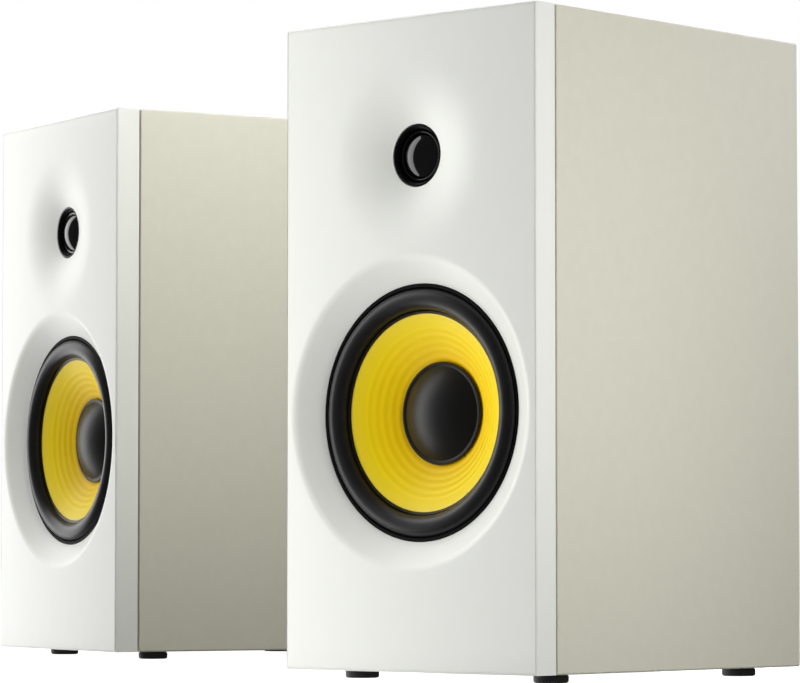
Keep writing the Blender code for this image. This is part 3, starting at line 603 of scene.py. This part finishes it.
def make_baffle(prefix):
    """The white front: one sheet over both dishes, its sides, its back edge and the holes' walls."""
    bm = bmesh.new()
    bm.from_mesh(front_patch(0.0, SPLIT_Z, WOOFER_Z, HOLE_R, DISH_R))
    bm.from_mesh(front_patch(SPLIT_Z, HEIGHT, TWEETER_Z, THROAT_R, GUIDE_R))
    bmesh.ops.remove_doubles(bm, verts=bm.verts[:], dist=0.00002)
    bmesh.ops.recalc_face_normals(bm, faces=bm.faces[:])
    back = BAFFLE_T
    tongue = WALL + GAP
    end = BAFFLE_HIGH.y - ORIGIN.y
    profile = [(tongue + 4 * MM, end), (tongue, end), (tongue, back)]
    profile += [(0.3 * MM, back), (0.0, back - 0.3 * MM), (0.0, EDGE_Y)]
    bm.from_mesh(loft(stepped(HALF_W, HEIGHT / 2, 0.0, profile), (0.0, HEIGHT / 2)))
    for inner, centre_z, shape, behind in (
        (HOLE_R, WOOFER_Z, DISH, REBATE_Y), (THROAT_R, TWEETER_Z, GUIDE, back),
    ):
        depth = dish_depth(inner, *shape)
        wall = [(inner, depth), (inner, behind), (inner + 5 * MM, behind)]
        bm.from_mesh(lathe(wall, (0.0, centre_z), closed=False))
    mesh = from_bmesh(bm, 28)
    piece(prefix, "baffle_shell", mesh, "white_shell", replaced=["baffle"])


# The cabinet

def make_sleeve(prefix):
    """The wrapped sleeve with fine rounded edges, open in front and behind."""
    front, back = SLEEVE_Y, DEPTH
    soft = 0.5 * MM
    profile = [(WALL, back - 0.2 * MM), (WALL - 0.4 * MM, back)]
    profile += arc((soft, back - soft), (-soft, soft), 90, 0, 4)
    profile += arc((soft, front + soft), (-soft, -soft), 0, 90, 4)
    profile += [(WALL, front), (WALL, (front + back) / 2)]
    mesh = loft(stepped(HALF_W, HEIGHT / 2, 0.8 * MM, profile), (0.0, HEIGHT / 2), closed=True, per=4)
    piece(prefix, "cabinet_shell", mesh, "beige_wrap", replaced=["cabinet_sleeve"])


def make_port(prefix):
    """The reflex tube, with its flange on the board and its mouth flared out to it."""
    low, high = own_box("port_tube")
    centre = own_middle("port_tube")
    face, flange_r = high.y, radius_of("port_tube")
    bore_r, mouth_r, flare_d = 16 * MM, 21.5 * MM, 10 * MM
    wall, lip, soft = 1.8 * MM, 1.4 * MM, 0.5 * MM
    profile = [(bore_r + wall, low.y), (bore_r + wall, face - lip), (flange_r, face - lip)]
    profile += [(flange_r, face - soft)]
    profile += arc((flange_r - soft, face - soft), (soft, soft), 20, 90, 4)
    profile += arc((mouth_r, face - flare_d), (bore_r - mouth_r, flare_d), 90, 0, 14)
    profile += [(bore_r, low.y)]
    mesh = lathe(profile, (centre.x, centre.z), 96)
    piece(prefix, "port_flare", mesh, "black_plastic", replaced=["port_tube"])


def upright(profile, at, steps=64):
    """(radius, height) points turned about z through a point: a lathe's mesh stood up."""
    mesh = lathe([(radius, -height) for radius, height in profile], steps=steps)
    mesh.transform(Matrix.Translation((at[0], at[1], 0.0)) @ Matrix.Rotation(-math.pi / 2, 4, "X"))
    return mesh


def make_feet(prefix):
    """Rubber feet: a waist groove under the cabinet, a rounded tread, and a recess with its screw."""
    for end in ("front", "rear"):
        for side in ("left", "right"):
            name = f"foot_{end}_{side}"
            low, high = own_box(name)
            at = own_middle(name)
            radius, ground = radius_of(name), low.z
            waist, recess_r, recess_z = radius - 0.5 * MM, 2.9 * MM, ground + 1.6 * MM
            profile = [(0.0, 0.0), (waist, 0.0), (waist, -0.5 * MM), (radius, -0.8 * MM)]
            profile += arc((radius - 1 * MM, ground + 1 * MM), (1 * MM, 1 * MM), 0, -90, 6)
            profile += [(recess_r + 0.3 * MM, ground), (recess_r, ground + 0.3 * MM)]
            profile += [(recess_r, recess_z), (0.0, recess_z)]
            mesh = upright(profile, at)
            piece(prefix, name + "_pad", mesh, "foot_rubber", replaced=[name])
            head = [(0.0, ground + 1.55 * MM), (2.5 * MM, ground + 1.55 * MM), (2.3 * MM, ground + 1.1 * MM)]
            head += [(1.4 * MM, ground + 0.8 * MM), (0.6 * MM, ground + 0.8 * MM)]
            head += [(0.5 * MM, ground + 1.2 * MM), (0.0, ground + 1.3 * MM)]
            piece(prefix, name + "_screw", upright(head, at, 24), "plated_steel")


# The woofer

def make_gasket(prefix):
    """The foam ring between the surround's edge and the hole's wall."""
    low, high = own_box("woofer_gasket")
    outer, inner = radius_of("woofer_gasket") + 0.25 * MM, 45.4 * MM
    front = low.y
    profile = [(outer, high.y), (outer, front + 0.35 * MM)]
    profile += arc((outer - 0.45 * MM, front + 0.35 * MM), (0.45 * MM, -0.35 * MM), 20, 90, 4)
    profile += [(inner + 0.7 * MM, front + 0.1 * MM), (inner + 0.2 * MM, front + 0.7 * MM), (inner, high.y)]
    mesh = lathe(profile, (0.0, WOOFER_Z), 160)
    piece(prefix, "woofer_gasket_ring", mesh, "gasket_foam", replaced=["woofer_gasket"])


ROLL_IN = 37.7 * MM  # the half roll's inner and outer edge, and its thickness
ROLL_OUT = 45.9 * MM
ROLL_T = 0.7 * MM
ROLL_BASE = own_box("woofer_surround")[1].y - 0.7 * MM
ROLL_RISE = ROLL_BASE - own_box("woofer_surround")[0].y
CONE_LOW, CONE_HIGH = own_box("woofer_cone")
CONE_R = radius_of("woofer_cone")
CONE_EDGE_Y = CONE_LOW.y + 0.35 * MM


def make_surround(prefix):
    """The half roll: its outer edge stays with the basket, and its inner edge goes with the cone."""
    mid = (ROLL_IN + ROLL_OUT) / 2
    half = (ROLL_OUT - ROLL_IN) / 2
    outer_lip, inner_lip = 47 * MM, 36.4 * MM  # where the roll's flat edges are glued on
    profile = [(outer_lip, ROLL_BASE + 0.2 * MM)] + arc((mid, ROLL_BASE), (half, -ROLL_RISE), 0, 180, 28)
    profile += [(37.3 * MM, ROLL_BASE + 0.02 * MM), (inner_lip, ROLL_BASE + 0.3 * MM)]
    profile += [(inner_lip, ROLL_BASE + 0.55 * MM)]
    profile += arc((mid, ROLL_BASE), (half - ROLL_T, ROLL_T - ROLL_RISE), 180, 0, 16)
    profile += [(ROLL_OUT, ROLL_BASE + 0.9 * MM), (outer_lip, ROLL_BASE + 0.9 * MM)]
    mesh = lathe(profile, (0.0, WOOFER_Z), 160, sharp=50)
    roll = added(f"{prefix}_woofer_roll", mesh)
    own = SPEAKERS[prefix]
    roll.matrix_world = own
    mesh.materials.append(MATERIALS["black_rubber"])
    radii = [math.hypot(v.co.x, v.co.z - WOOFER_Z) for v in mesh.vertices]
    outer_end = own @ Vector((ROLL_OUT, ROLL_BASE, WOOFER_Z))
    inner_end = own @ Vector((ROLL_IN, ROLL_BASE, WOOFER_Z))
    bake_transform(roll, f"{prefix}_speaker", f"{prefix}_woofer_cone", outer_end, inner_end)
    weights = [smooth_step((ROLL_OUT - r) / (ROLL_OUT - ROLL_IN)) for r in radii]
    mesh.attributes["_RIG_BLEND"].data.foreach_set("value", np.array(weights, np.float32))
    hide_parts(f"{prefix}_woofer_surround")


RIB_PITCH = 2.6 * MM
RIB_FIRST = 31.1 * MM  # the outermost and innermost rib
RIB_LAST = 19.6 * MM
RIB_RISE = 0.12 * MM
NECK_R = 13.5 * MM
CONE_T = 0.85 * MM


def cone_depth(radius):
    """The cone's front surface: a straight flank with shallow ribs, and a flatter smooth rim."""
    rim = 35.0 * MM
    slope = (CONE_HIGH.y - 0.9 * MM - CONE_EDGE_Y) / (CONE_R - NECK_R)
    depth = CONE_EDGE_Y + slope * (CONE_R - radius)
    if radius > rim:
        depth += 0.12 * MM * ((radius - rim) / (CONE_R - rim)) ** 2
    inside = smooth_step((RIB_FIRST + 1.4 * MM - radius) / (1.6 * MM))
    inside *= smooth_step((radius - RIB_LAST) / (1.2 * MM))
    rib = 0.5 + 0.5 * math.cos(2 * math.pi * (radius - RIB_FIRST) / RIB_PITCH)
    return depth - RIB_RISE * inside * rib


def make_cone(prefix):
    """The ribbed cone with its plain back, and the bead of glue that joins it to the roll."""
    count = 110
    radii = [CONE_R + (NECK_R + 0.1 * MM - CONE_R) * i / count for i in range(count + 1)]
    front = [(r, cone_depth(r)) for r in radii]
    back = [(r, CONE_EDGE_Y + CONE_T + 0.62 * (CONE_R - r)) for r in radii[::-10]]
    mesh = lathe(front + back, (0.0, WOOFER_Z), 160, sharp=60)
    piece(prefix, "woofer_cone_ribbed", mesh, "yellow_cone", "woofer_cone", ["woofer_cone"])
    bead_r, bead_y = 37.42 * MM, ROLL_BASE - 0.02 * MM
    bead = lathe(arc((bead_r, bead_y), (0.26 * MM, -0.22 * MM), 0, 180, 8), (0.0, WOOFER_Z), 160)
    piece(prefix, "woofer_glue_bead", bead, "glue_bead", "woofer_cone")


def make_dust_cap(prefix):
    """A flat rim on the cone, a small valley, and a dome."""
    low, high = own_box("woofer_dust_cap")
    rim_r = radius_of("woofer_dust_cap")
    rim_y = high.y - 0.35 * MM
    top = rim_y - 0.25 * MM
    dome_r, dome_y = 17.3 * MM, top + 0.1 * MM
    inside = dome(dome_r - 0.3 * MM, high.y - 0.1 * MM, high.y - low.y - 0.7 * MM, 10)
    profile = [(rim_r - 0.2 * MM, high.y), (rim_r, rim_y + 0.1 * MM)]
    profile += [(rim_r - 0.15 * MM, top + 0.05 * MM), (rim_r - 0.5 * MM, top)]
    profile += [(dome_r + 0.45 * MM, top + 0.02 * MM), (dome_r + 0.2 * MM, top + 0.16 * MM)]
    profile += dome(dome_r, dome_y, dome_y - low.y, 26)
    profile += [(0.0, low.y + 0.6 * MM)] + inside[-2::-1]
    mesh = lathe(profile, (0.0, WOOFER_Z), 128, sharp=40)
    piece(prefix, "woofer_cap", mesh, "dust_cap", "woofer_cone", ["woofer_dust_cap"])


# The tweeter

def make_tweeter(prefix):
    """A turned ring that slopes in to a flat seat, and a polished dome with its small roll."""
    low, high = own_box("tweeter_face")
    outer, flange = 11.45 * MM, radius_of("tweeter_face")
    front = low.y
    seat = own_box("tweeter_dome")[1].y - 0.7 * MM
    rear, soft = high.y - 2 * MM, 0.3 * MM
    profile = [(flange, high.y), (flange, rear), (outer, rear), (outer, front + soft)]
    profile += arc((outer - soft, front + soft), (soft, -soft), 20, 90, 4)
    profile += [(10.95 * MM, front + 0.02 * MM), (10.75 * MM, front + 0.2 * MM)]
    profile += [(10.3 * MM, front + 1.25 * MM), (10.2 * MM, front + 1.3 * MM)]
    profile += [(10.1 * MM, front + 1.45 * MM), (9.95 * MM, seat - 0.25 * MM)]
    profile += [(9.85 * MM, seat), (9.75 * MM, seat + 0.1 * MM), (9.7 * MM, high.y)]
    mesh = lathe(profile, (0.0, TWEETER_Z), 96)
    piece(prefix, "tweeter_ring", mesh, "black_gloss", replaced=["tweeter_face"])
    low, high = own_box("tweeter_dome")
    roll_r, dome_r = radius_of("tweeter_dome"), 8.55 * MM
    roll = arc(((roll_r + dome_r) / 2, seat), ((roll_r - dome_r) / 2, -0.32 * MM), 0, 180, 8)
    profile = [(roll_r, high.y)] + roll[:-1] + dome(dome_r, seat, seat - low.y, 28) + [(0.0, high.y)]
    mesh = lathe(profile, (0.0, TWEETER_Z), 96, sharp=50)
    piece(prefix, "tweeter_silk_dome", mesh, "silk_dome", "tweeter_dome", ["tweeter_dome"])


# Screws

def screw_head(at, radius, rise, turn=0.0):
    """A pan head on a face at depth at.y that looks backwards, with a cross recess."""
    profile = [(0.0, 0.0), (radius, 0.0), (radius, 0.25 * rise)]
    profile += arc((0.0, 0.25 * rise), (radius, 0.75 * rise), 18, 84, 6) + [(0.0, rise)]
    head = added("head", lathe(profile, steps=32))
    long, short, place = radius * 1.1, radius * 0.26, (0.0, rise * 1.05, 0.0)
    bars = [block(size, place, 0.0) for size in ((long, rise, short), (short, rise, long))]
    cross = added("cross", merged(bars))
    step = head.modifiers.new("recess", "BOOLEAN")
    step.object = cross
    step.use_self = True
    mesh = bpy.data.meshes.new_from_object(head.evaluated_get(bpy.context.evaluated_depsgraph_get()))
    for obj in (head, cross):
        bpy.data.objects.remove(obj, do_unlink=True)
    mesh.transform(Matrix.Translation(at) @ Matrix.Rotation(turn, 4, "Y"))
    return finished(mesh)


def screws(prefix, name, places, face, radius=2.9 * MM, rise=1.3 * MM):
    """A row of screws as one piece, each turned a little differently."""
    heads = [screw_head(Vector((x, face, z)), radius, rise, 0.7 * i) for i, (x, z) in enumerate(places)]
    piece(prefix, name, merged(heads), "screw_black")


def around(half_w, z_low, z_high, count):
    """Screw places down both sides of a rectangle."""
    heights = [z_low + (z_high - z_low) * i / (count - 1) for i in range(count)]
    return [(side * half_w, z) for side in (-1, 1) for z in heights]


# The back

def make_terminals(prefix, body_y):
    """The spring terminals: a block with cheeks, and a red and a black lever."""
    at = own_middle("terminal_block")
    if prefix == "passive":  # in the middle of its board
        at = Vector((0.0, 0.0, middle_of("passive_terminal_block").z - ORIGIN.z))
    face = body_y + 2 * MM
    half_w, half_h = 19 * MM, 15 * MM
    edge = [(0.0, body_y), (0.0, face - 0.4 * MM), (0.4 * MM, face), (half_w, face)]
    plate = loft(stepped(half_w, half_h, 2.5 * MM, edge), (at.x, at.z))
    parts = [plate, block((32 * MM, 12 * MM, 24 * MM), (at.x, body_y - 5 * MM, at.z))]
    cheek = (2 * MM, 7.5 * MM, 18 * MM)
    for x in (-16 * MM, 0.0, 16 * MM):
        parts.append(block(cheek, (at.x + x, face + 2.75 * MM, at.z - 2 * MM), 0.5 * MM))
    for x in (-8 * MM, 8 * MM):
        ring = [(2.6 * MM, face - 0.1 * MM), (2.6 * MM, face + 0.35 * MM)]
        ring += [(1.9 * MM, face + 0.35 * MM), (1.6 * MM, face - 0.1 * MM)]
        parts.append(lathe(ring, (at.x + x, at.z + 10.6 * MM), 32))
    mesh = merged(parts)
    piece(prefix, "terminal_body", mesh, "black_plastic", replaced=["terminal_block"])
    outline = [
        (-1.0 * MM, -1.7 * MM), (1.0 * MM, -1.7 * MM), (1.9 * MM, 0.0), (1.9 * MM, 8 * MM),
        (4.6 * MM, 11.5 * MM), (3.4 * MM, 13.5 * MM), (-1.5 * MM, 9.5 * MM), (-1.9 * MM, 0.0),
    ]
    for side, x, look in (("red", -8 * MM, "red_plastic"), ("black", 8 * MM, "black_plastic")):
        pivot = (at.x + x, face + 2.7 * MM, at.z - 7.2 * MM)
        mesh = extruded(outline, 12.8 * MM, pivot, 0.35 * MM)
        piece(prefix, f"lever_tab_{side}", mesh, look, f"lever_{side}", [f"terminal_lever_{side}"])


def make_panel():
    """The amplifier's painted panel with a rolled edge, and its screws."""
    low, high = own_box("amp_panel")
    at = own_middle("amp_panel")
    half_w, half_h = (high.x - low.x) / 2, (high.z - low.z) / 2
    face = high.y
    mesh = loft(stepped(half_w, half_h, 3 * MM, softened(low.y, face)), (at.x, at.z), caps=(False, True))
    piece("active", "panel_sheet", mesh, "panel_paint", replaced=["amp_panel"])
    inset = 4 * MM
    heights = (low.z + inset, at.z - 3 * MM, high.z - inset)
    places = [(side * (half_w - inset), z) for side in (-1, 1) for z in heights]
    screws("active", "panel_screws", places, face)
    return face


def tick_marks(at, radius, face):
    """Eleven printed marks around a knob, the two end ones longer."""
    marks = []
    for i in range(11):
        angle = math.radians(-150 + 30 * i)
        length = (2.4 if i in (0, 5, 10) else 1.5) * MM
        mark = block((0.45 * MM, 0.06 * MM, length), (0.0, 0.0, radius + length / 2), 0.0)
        mark.transform(Matrix.Translation((at.x, face + 0.03 * MM, at.z)) @ Matrix.Rotation(angle, 4, "Y"))
        marks.append(mark)
    return marks


FLUTES = 28
FLUTE_D = 0.28 * MM


def make_knobs(face):
    """Fluted knobs with a white pointer, and the printed scales around them."""
    marks = []
    for name, pointer in (("volume", 150), ("bass", 0), ("treble", 0)):
        knob = f"knob_{name}"
        low, high = own_box(knob)
        at = own_middle(knob)
        radius = radius_of(knob)
        start = face + 0.5 * MM
        end = high.y

        def fluted(r, d, angle, radius=radius, start=start, end=end):
            share = smooth_step((d - start - 2.2 * MM) / (1 * MM))
            share *= smooth_step((end - 0.6 * MM - d) / (0.8 * MM))
            if r > radius * 0.85:
                r -= FLUTE_D * share * (0.5 + 0.5 * math.cos(FLUTES * angle))
            return r, d

        side = [(radius, start), (radius, start + 1.4 * MM), (radius - 0.35 * MM, start + 1.9 * MM)]
        grip_y, grip_d = start + 1.9 * MM, end - start - 3.4 * MM
        side += [(radius - 0.4 * MM, grip_y + grip_d * i / 8) for i in range(1, 9)]
        rim = arc((radius - 1.5 * MM, end - 1.1 * MM), (1.1 * MM, 1.1 * MM), 0, 90, 6)
        dish = [(radius * 0.62, end - 0.05 * MM), (radius * 0.55, end - 0.35 * MM), (0.0, end - 0.5 * MM)]
        profile = [(0.0, low.y), (3 * MM, low.y), (3 * MM, start)] + side + rim + dish
        mesh = lathe(profile, (at.x, at.z), 224, wave=fluted, sharp=40)
        piece("active", f"knob_cap_{name}", mesh, "black_plastic", knob, [knob])
        line = block((0.9 * MM, 0.3 * MM, radius * 0.42), (0.0, 0.0, radius * 0.68), 0.1 * MM)
        turn = Matrix.Rotation(math.radians(pointer), 4, "Y")
        line.transform(Matrix.Translation((at.x, end - 0.02 * MM, at.z)) @ turn)
        piece("active", f"knob_pointer_{name}", line, "white_print", knob)
        marks += tick_marks(at, radius + 1.6 * MM, face)
    piece("active", "panel_scales", merged(marks), "white_print")


def make_jacks(face):
    """Input sockets: a nickel barrel in a coloured ring, with a coloured core."""
    for name, look in (("left", "white_plastic"), ("right", "red_plastic")):
        jack = f"input_jack_{name}"
        end = own_box(jack)[1].y
        middle = own_middle(jack)
        at = (middle.x, middle.z)
        outer, ring_y, floor = radius_of(jack), face + 1.9 * MM, face + 2 * MM
        ring = [(outer, face), (outer, face + 1.5 * MM), (outer - 0.3 * MM, ring_y), (4.3 * MM, ring_y)]
        ring += [(4.2 * MM, face)]
        piece("active", f"jack_ring_{name}", lathe(ring, at, 64), look)
        barrel_r, bore_r = 4.1 * MM, 3.4 * MM
        barrel = [(barrel_r, face), (barrel_r, end - 0.4 * MM), (3.8 * MM, end), (3.5 * MM, end)]
        barrel += [(bore_r, end - 0.3 * MM), (bore_r, floor), (0.0, floor), (0.0, face)]
        mesh = lathe(barrel, at, 64)
        piece("active", f"jack_barrel_{name}", mesh, "nickel", replaced=[jack])
        core_r, core_y, pin_r = 3.35 * MM, end - 1.4 * MM, 1.7 * MM
        core = [(core_r, floor), (core_r, core_y), (pin_r + 0.2 * MM, core_y), (pin_r, core_y - 0.3 * MM)]
        core += [(pin_r, face + 3 * MM), (0.0, face + 3 * MM), (0.0, floor)]
        piece("active", f"jack_core_{name}", lathe(core, at, 48), look)


def make_inlet(face):
    """The mains inlet: a rounded flange, a recess with round ends, and two pins."""
    low, high = own_box("mains_inlet")
    at = own_middle("mains_inlet")
    half_w, half_h = (high.x - low.x) / 2, (high.z - low.z) / 2
    end, floor = high.y, high.y - 14 * MM
    loops = stepped(half_w, half_h, 2.5 * MM, softened(face, end))
    slot_w, slot_h, soft = 8.5 * MM, 4.5 * MM, 0.4 * MM
    round_end = slot_h - 0.05 * MM
    loops += [(slot_w + soft, slot_h + soft, round_end + soft, end), (slot_w, slot_h, round_end, end - soft)]
    loops += [(slot_w, slot_h, round_end, floor)]
    mesh = loft(loops, (at.x, at.z), caps=(False, True), per=8)
    piece("active", "inlet_body", mesh, "black_plastic", replaced=["mains_inlet"])
    pin_r, pin_y = 1.2 * MM, end - 3 * MM
    pin = [(pin_r, floor), (pin_r, pin_y)] + arc((0.0, pin_y), (pin_r, pin_r), 10, 80, 5)
    pin += [(0.0, end - 1.8 * MM), (0.0, floor)]
    pins = [lathe(pin, (at.x + x, at.z), 32) for x in (-4.3 * MM, 4.3 * MM)]
    piece("active", "inlet_pins", merged(pins), "nickel")


def make_switch(face):
    """The mains switch: a rounded frame, and a rocker with its two marks."""
    low, high = own_box("switch_frame")
    at = own_middle("switch_frame")
    half_w, half_h, end = (high.x - low.x) / 2, (high.z - low.z) / 2, high.y
    loops = stepped(half_w, half_h, 1.5 * MM, softened(face, end))
    hole = (5.7 * MM, 8.7 * MM, 0.4 * MM)
    loops += [(*hole, end), (*hole, end - 9.4 * MM)]
    mesh = loft(loops, (at.x, at.z), caps=(False, True))
    piece("active", "switch_bezel", mesh, "black_plastic", replaced=["switch_frame"])
    outline = [
        (1.2 * MM, -7.8 * MM), (2.6 * MM, 0.0), (1.2 * MM, 7.8 * MM),
        (-3.6 * MM, 6.6 * MM), (-4.6 * MM, 0.0), (-3.6 * MM, -6.6 * MM),
    ]
    pivot = Vector((at.x, end - 2 * MM + 1.2 * MM, at.z))
    tilt = Matrix.Translation(pivot) @ Matrix.Rotation(math.radians(-8), 4, "X")
    mesh = extruded(outline, 10.4 * MM, (0.0, 0.0, 0.0), 0.35 * MM)
    mesh.transform(tilt)
    piece("active", "rocker_cap", mesh, "black_gloss", "rocker", ["switch_rocker"])
    slope, print_t = math.atan2(1.4, 7.8), 0.08 * MM  # of the rocker's two faces, and of the print on them
    on_mark = block((0.5 * MM, print_t, 3 * MM), (0.0, 0.0, 0.0), 0.0)
    off_mark = lathe([(1.5 * MM, 0.0), (1.5 * MM, print_t), (1.05 * MM, print_t), (1.05 * MM, 0.0)], steps=40)
    for mark, y, z, angle in ((on_mark, 1.93 * MM, 4.2 * MM, slope), (off_mark, 1.88 * MM, -4.2 * MM, -slope)):
        mark.transform(tilt @ Matrix.Translation((0.0, y, z)) @ Matrix.Rotation(angle, 4, "X"))
    marks = merged([on_mark, off_mark])
    piece("active", "rocker_marks", marks, "white_print", "rocker")


def make_shared(prefix):
    """What both speakers have."""
    for make in (
        make_baffle, make_sleeve, make_port, make_feet, make_gasket, make_surround, make_cone, make_dust_cap,
        make_tweeter,
    ):
        make(prefix)


def make_backs():
    """What stands on the rear boards, which differ between the two speakers."""
    face = make_panel()
    make_knobs(face)
    make_jacks(face)
    make_inlet(face)
    make_switch(face)
    make_terminals("active", face + GAP)
    board_face = own_box("rear_board")[1].y
    make_terminals("passive", board_face + GAP)
    panel_low, panel_high = own_box("amp_panel")
    for prefix in SPEAKERS:
        places = around(HALF_W - WALL - 5 * MM, WALL + 6 * MM, HEIGHT - WALL - 6 * MM, 4)
        if prefix == "active":  # the panel takes the room of the ones between
            places = [(x, z) for x, z in places if not panel_low.z < z < panel_high.z]
        screws(prefix, "board_screws", places, board_face, 2.6 * MM, 1.1 * MM)


def dress_frame():
    """Materials for the CAD nodes that stay in view or inside."""
    looks = {
        "rear_board": "black_vinyl", "woofer_basket": "basket_paint", "woofer_voice_coil": "copper_coil",
        "woofer_spider": "treated_cloth", "woofer_top_plate": "plated_steel", "woofer_magnet": "ferrite",
        "woofer_back_plate": "plated_steel", "tweeter_motor": "plated_steel", "amp_board": "circuit_board",
        "transformer": "plated_steel", "crossover_board": "circuit_board",
    }
    for obj in bpy.context.scene.objects:
        for ending, look in looks.items():
            if obj.type == "MESH" and obj.name in frame["nodes"] and obj.name.endswith(ending):
                obj.data.materials.clear()
                obj.data.materials.append(MATERIALS[look])


# Stage, camera and lights

CORNER = SPEAKERS["active"] @ Vector((HALF_W, 0.0, 0.0))
EYE = CORNER + Vector((0.8775, -1.0492, 0.0427))  # the camera stands to the right of the pair, a little up
HEADING = math.atan2(0.6682, 0.7440)
PITCH = math.radians(3.162)
LENS = 173.8  # in mm, for a sensor 36 mm wide
WORLD_LIGHT = 0.13
AIM = Vector((0.03, 0.04, 0.13))  # what a speaker's lights point at, in its own frame

# Each light: its turn to the right of straight ahead and its height in degrees, its distance and size in
# metres, its power in watts, and which kind of light it gives
LEFT_GLOSS = (-83, 8, 0.5, (0.6, 0.95), 5.4, "glossy")
BEHIND = (175, 25, 1.6, (0.9, 0.9), 12.0, "both")
LIGHTS = {
    "active": {
        "left": (-52, -9, 0.3, (0.36, 0.8), 1.97, "diffuse"),
        "left_gloss": LEFT_GLOSS,
        "left_high": (-95, 70, 1.75, (0.6, 0.6), 10.0, "both"),
        "right": (81, 4, 0.31, (0.3, 0.3), 0.85, "diffuse"),
        "right_high": (86, 70, 1.8, (0.9, 0.9), 3.5, "diffuse"),
        "front_right": (35, 5, 1.6, (0.9, 0.9), 0.8, "diffuse"),
        "behind": BEHIND,
    },
    "passive": {
        "left": (-46, 1, 0.3, (0.36, 0.8), 1.6, "diffuse"),
        "left_gloss": LEFT_GLOSS,
        "right": (52, 5, 1.7, (0.9, 0.9), 1.4, "diffuse"),
        "right_near": (93, 48, 0.45, (0.3, 0.3), 1.6, "diffuse"),
        "right_high": (100, 70, 1.8, (0.9, 0.9), 1.5, "diffuse"),
        "behind": BEHIND,
    },
}


def make_camera():
    data = bpy.data.cameras.new("camera")
    data.lens = LENS
    data.sensor_width = 36.0
    data.clip_end = 50.0
    camera = added("camera", data)
    camera.location = EYE
    camera.rotation_euler = (math.pi / 2 + PITCH, 0.0, HEADING)
    bpy.context.scene.camera = camera


def make_lights(prefix, floor):
    """A speaker's own softboxes, in its own frame. They light it and the floor, and go where it goes."""
    lit = bpy.data.collections.new(f"{prefix}_lit")
    lit.objects.link(floor)
    for obj in bpy.context.scene.objects:
        if obj.type == "MESH" and obj.name.startswith(prefix):
            lit.objects.link(obj)
    for name, (turn, height, distance, size, power, use) in LIGHTS[prefix].items():
        around_z, up = math.radians(turn), math.radians(height)
        away = Vector((math.sin(around_z) * math.cos(up), -math.cos(around_z) * math.cos(up), math.sin(up)))
        data = bpy.data.lights.new(f"{prefix}_{name}", "AREA")
        data.shape = "RECTANGLE"
        data.size, data.size_y = size
        data.energy = power
        light = added(f"{prefix}_light_{name}", data)
        light.location = SPEAKERS[prefix] @ (AIM + distance * away)
        aim = SPEAKERS[prefix] @ AIM - light.location
        light.rotation_euler = aim.to_track_quat("-Z", "Y").to_euler()
        light.visible_camera = False
        light.visible_diffuse = use != "glossy"
        light.visible_glossy = use != "diffuse"
        light.light_linking.receiver_collection = lit
        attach(light, f"{prefix}_speaker")


def make_floor():
    """A wide white floor, which neither lights nor shades the speakers."""
    bm = bmesh.new()
    bmesh.ops.create_grid(bm, x_segments=1, y_segments=1, size=6.0)
    floor = added("floor", from_bmesh(bm))
    material, principled = shader("floor", (0.7, 0.7, 0.7), 0.9, Specular_IOR_Level=0.0)
    principled.inputs["Emission Color"].default_value = (1.0, 1.0, 1.0, 1.0)
    principled.inputs["Emission Strength"].default_value = 1.0
    floor.data.materials.append(material)
    floor.visible_diffuse = False
    floor.visible_glossy = False
    floor.visible_shadow = False
    return floor


def make_world():
    """A white backdrop to the camera, and a faint even light to everything else."""
    world = bpy.data.worlds.new("studio")
    bpy.context.scene.world = world
    world.use_nodes = True
    tree = world.node_tree
    background = tree.nodes["Background"]
    background.inputs["Color"].default_value = (1.0, 1.0, 1.0, 1.0)
    paths = tree.nodes.new("ShaderNodeLightPath")
    seen = tree.nodes.new("ShaderNodeMapRange")
    seen.inputs["To Min"].default_value = WORLD_LIGHT
    seen.inputs["To Max"].default_value = 1.0
    tree.links.new(paths.outputs["Is Camera Ray"], seen.inputs["Value"])
    tree.links.new(seen.outputs["Result"], background.inputs["Strength"])


def make_stage():
    scene = bpy.context.scene
    scene.view_settings.view_transform = "Standard"
    scene.view_settings.look = "None"
    make_camera()
    make_world()
    floor = make_floor()
    for prefix in SPEAKERS:
        make_lights(prefix, floor)


for name in SPEAKERS:
    make_shared(name)
make_backs()
dress_frame()
make_stage()
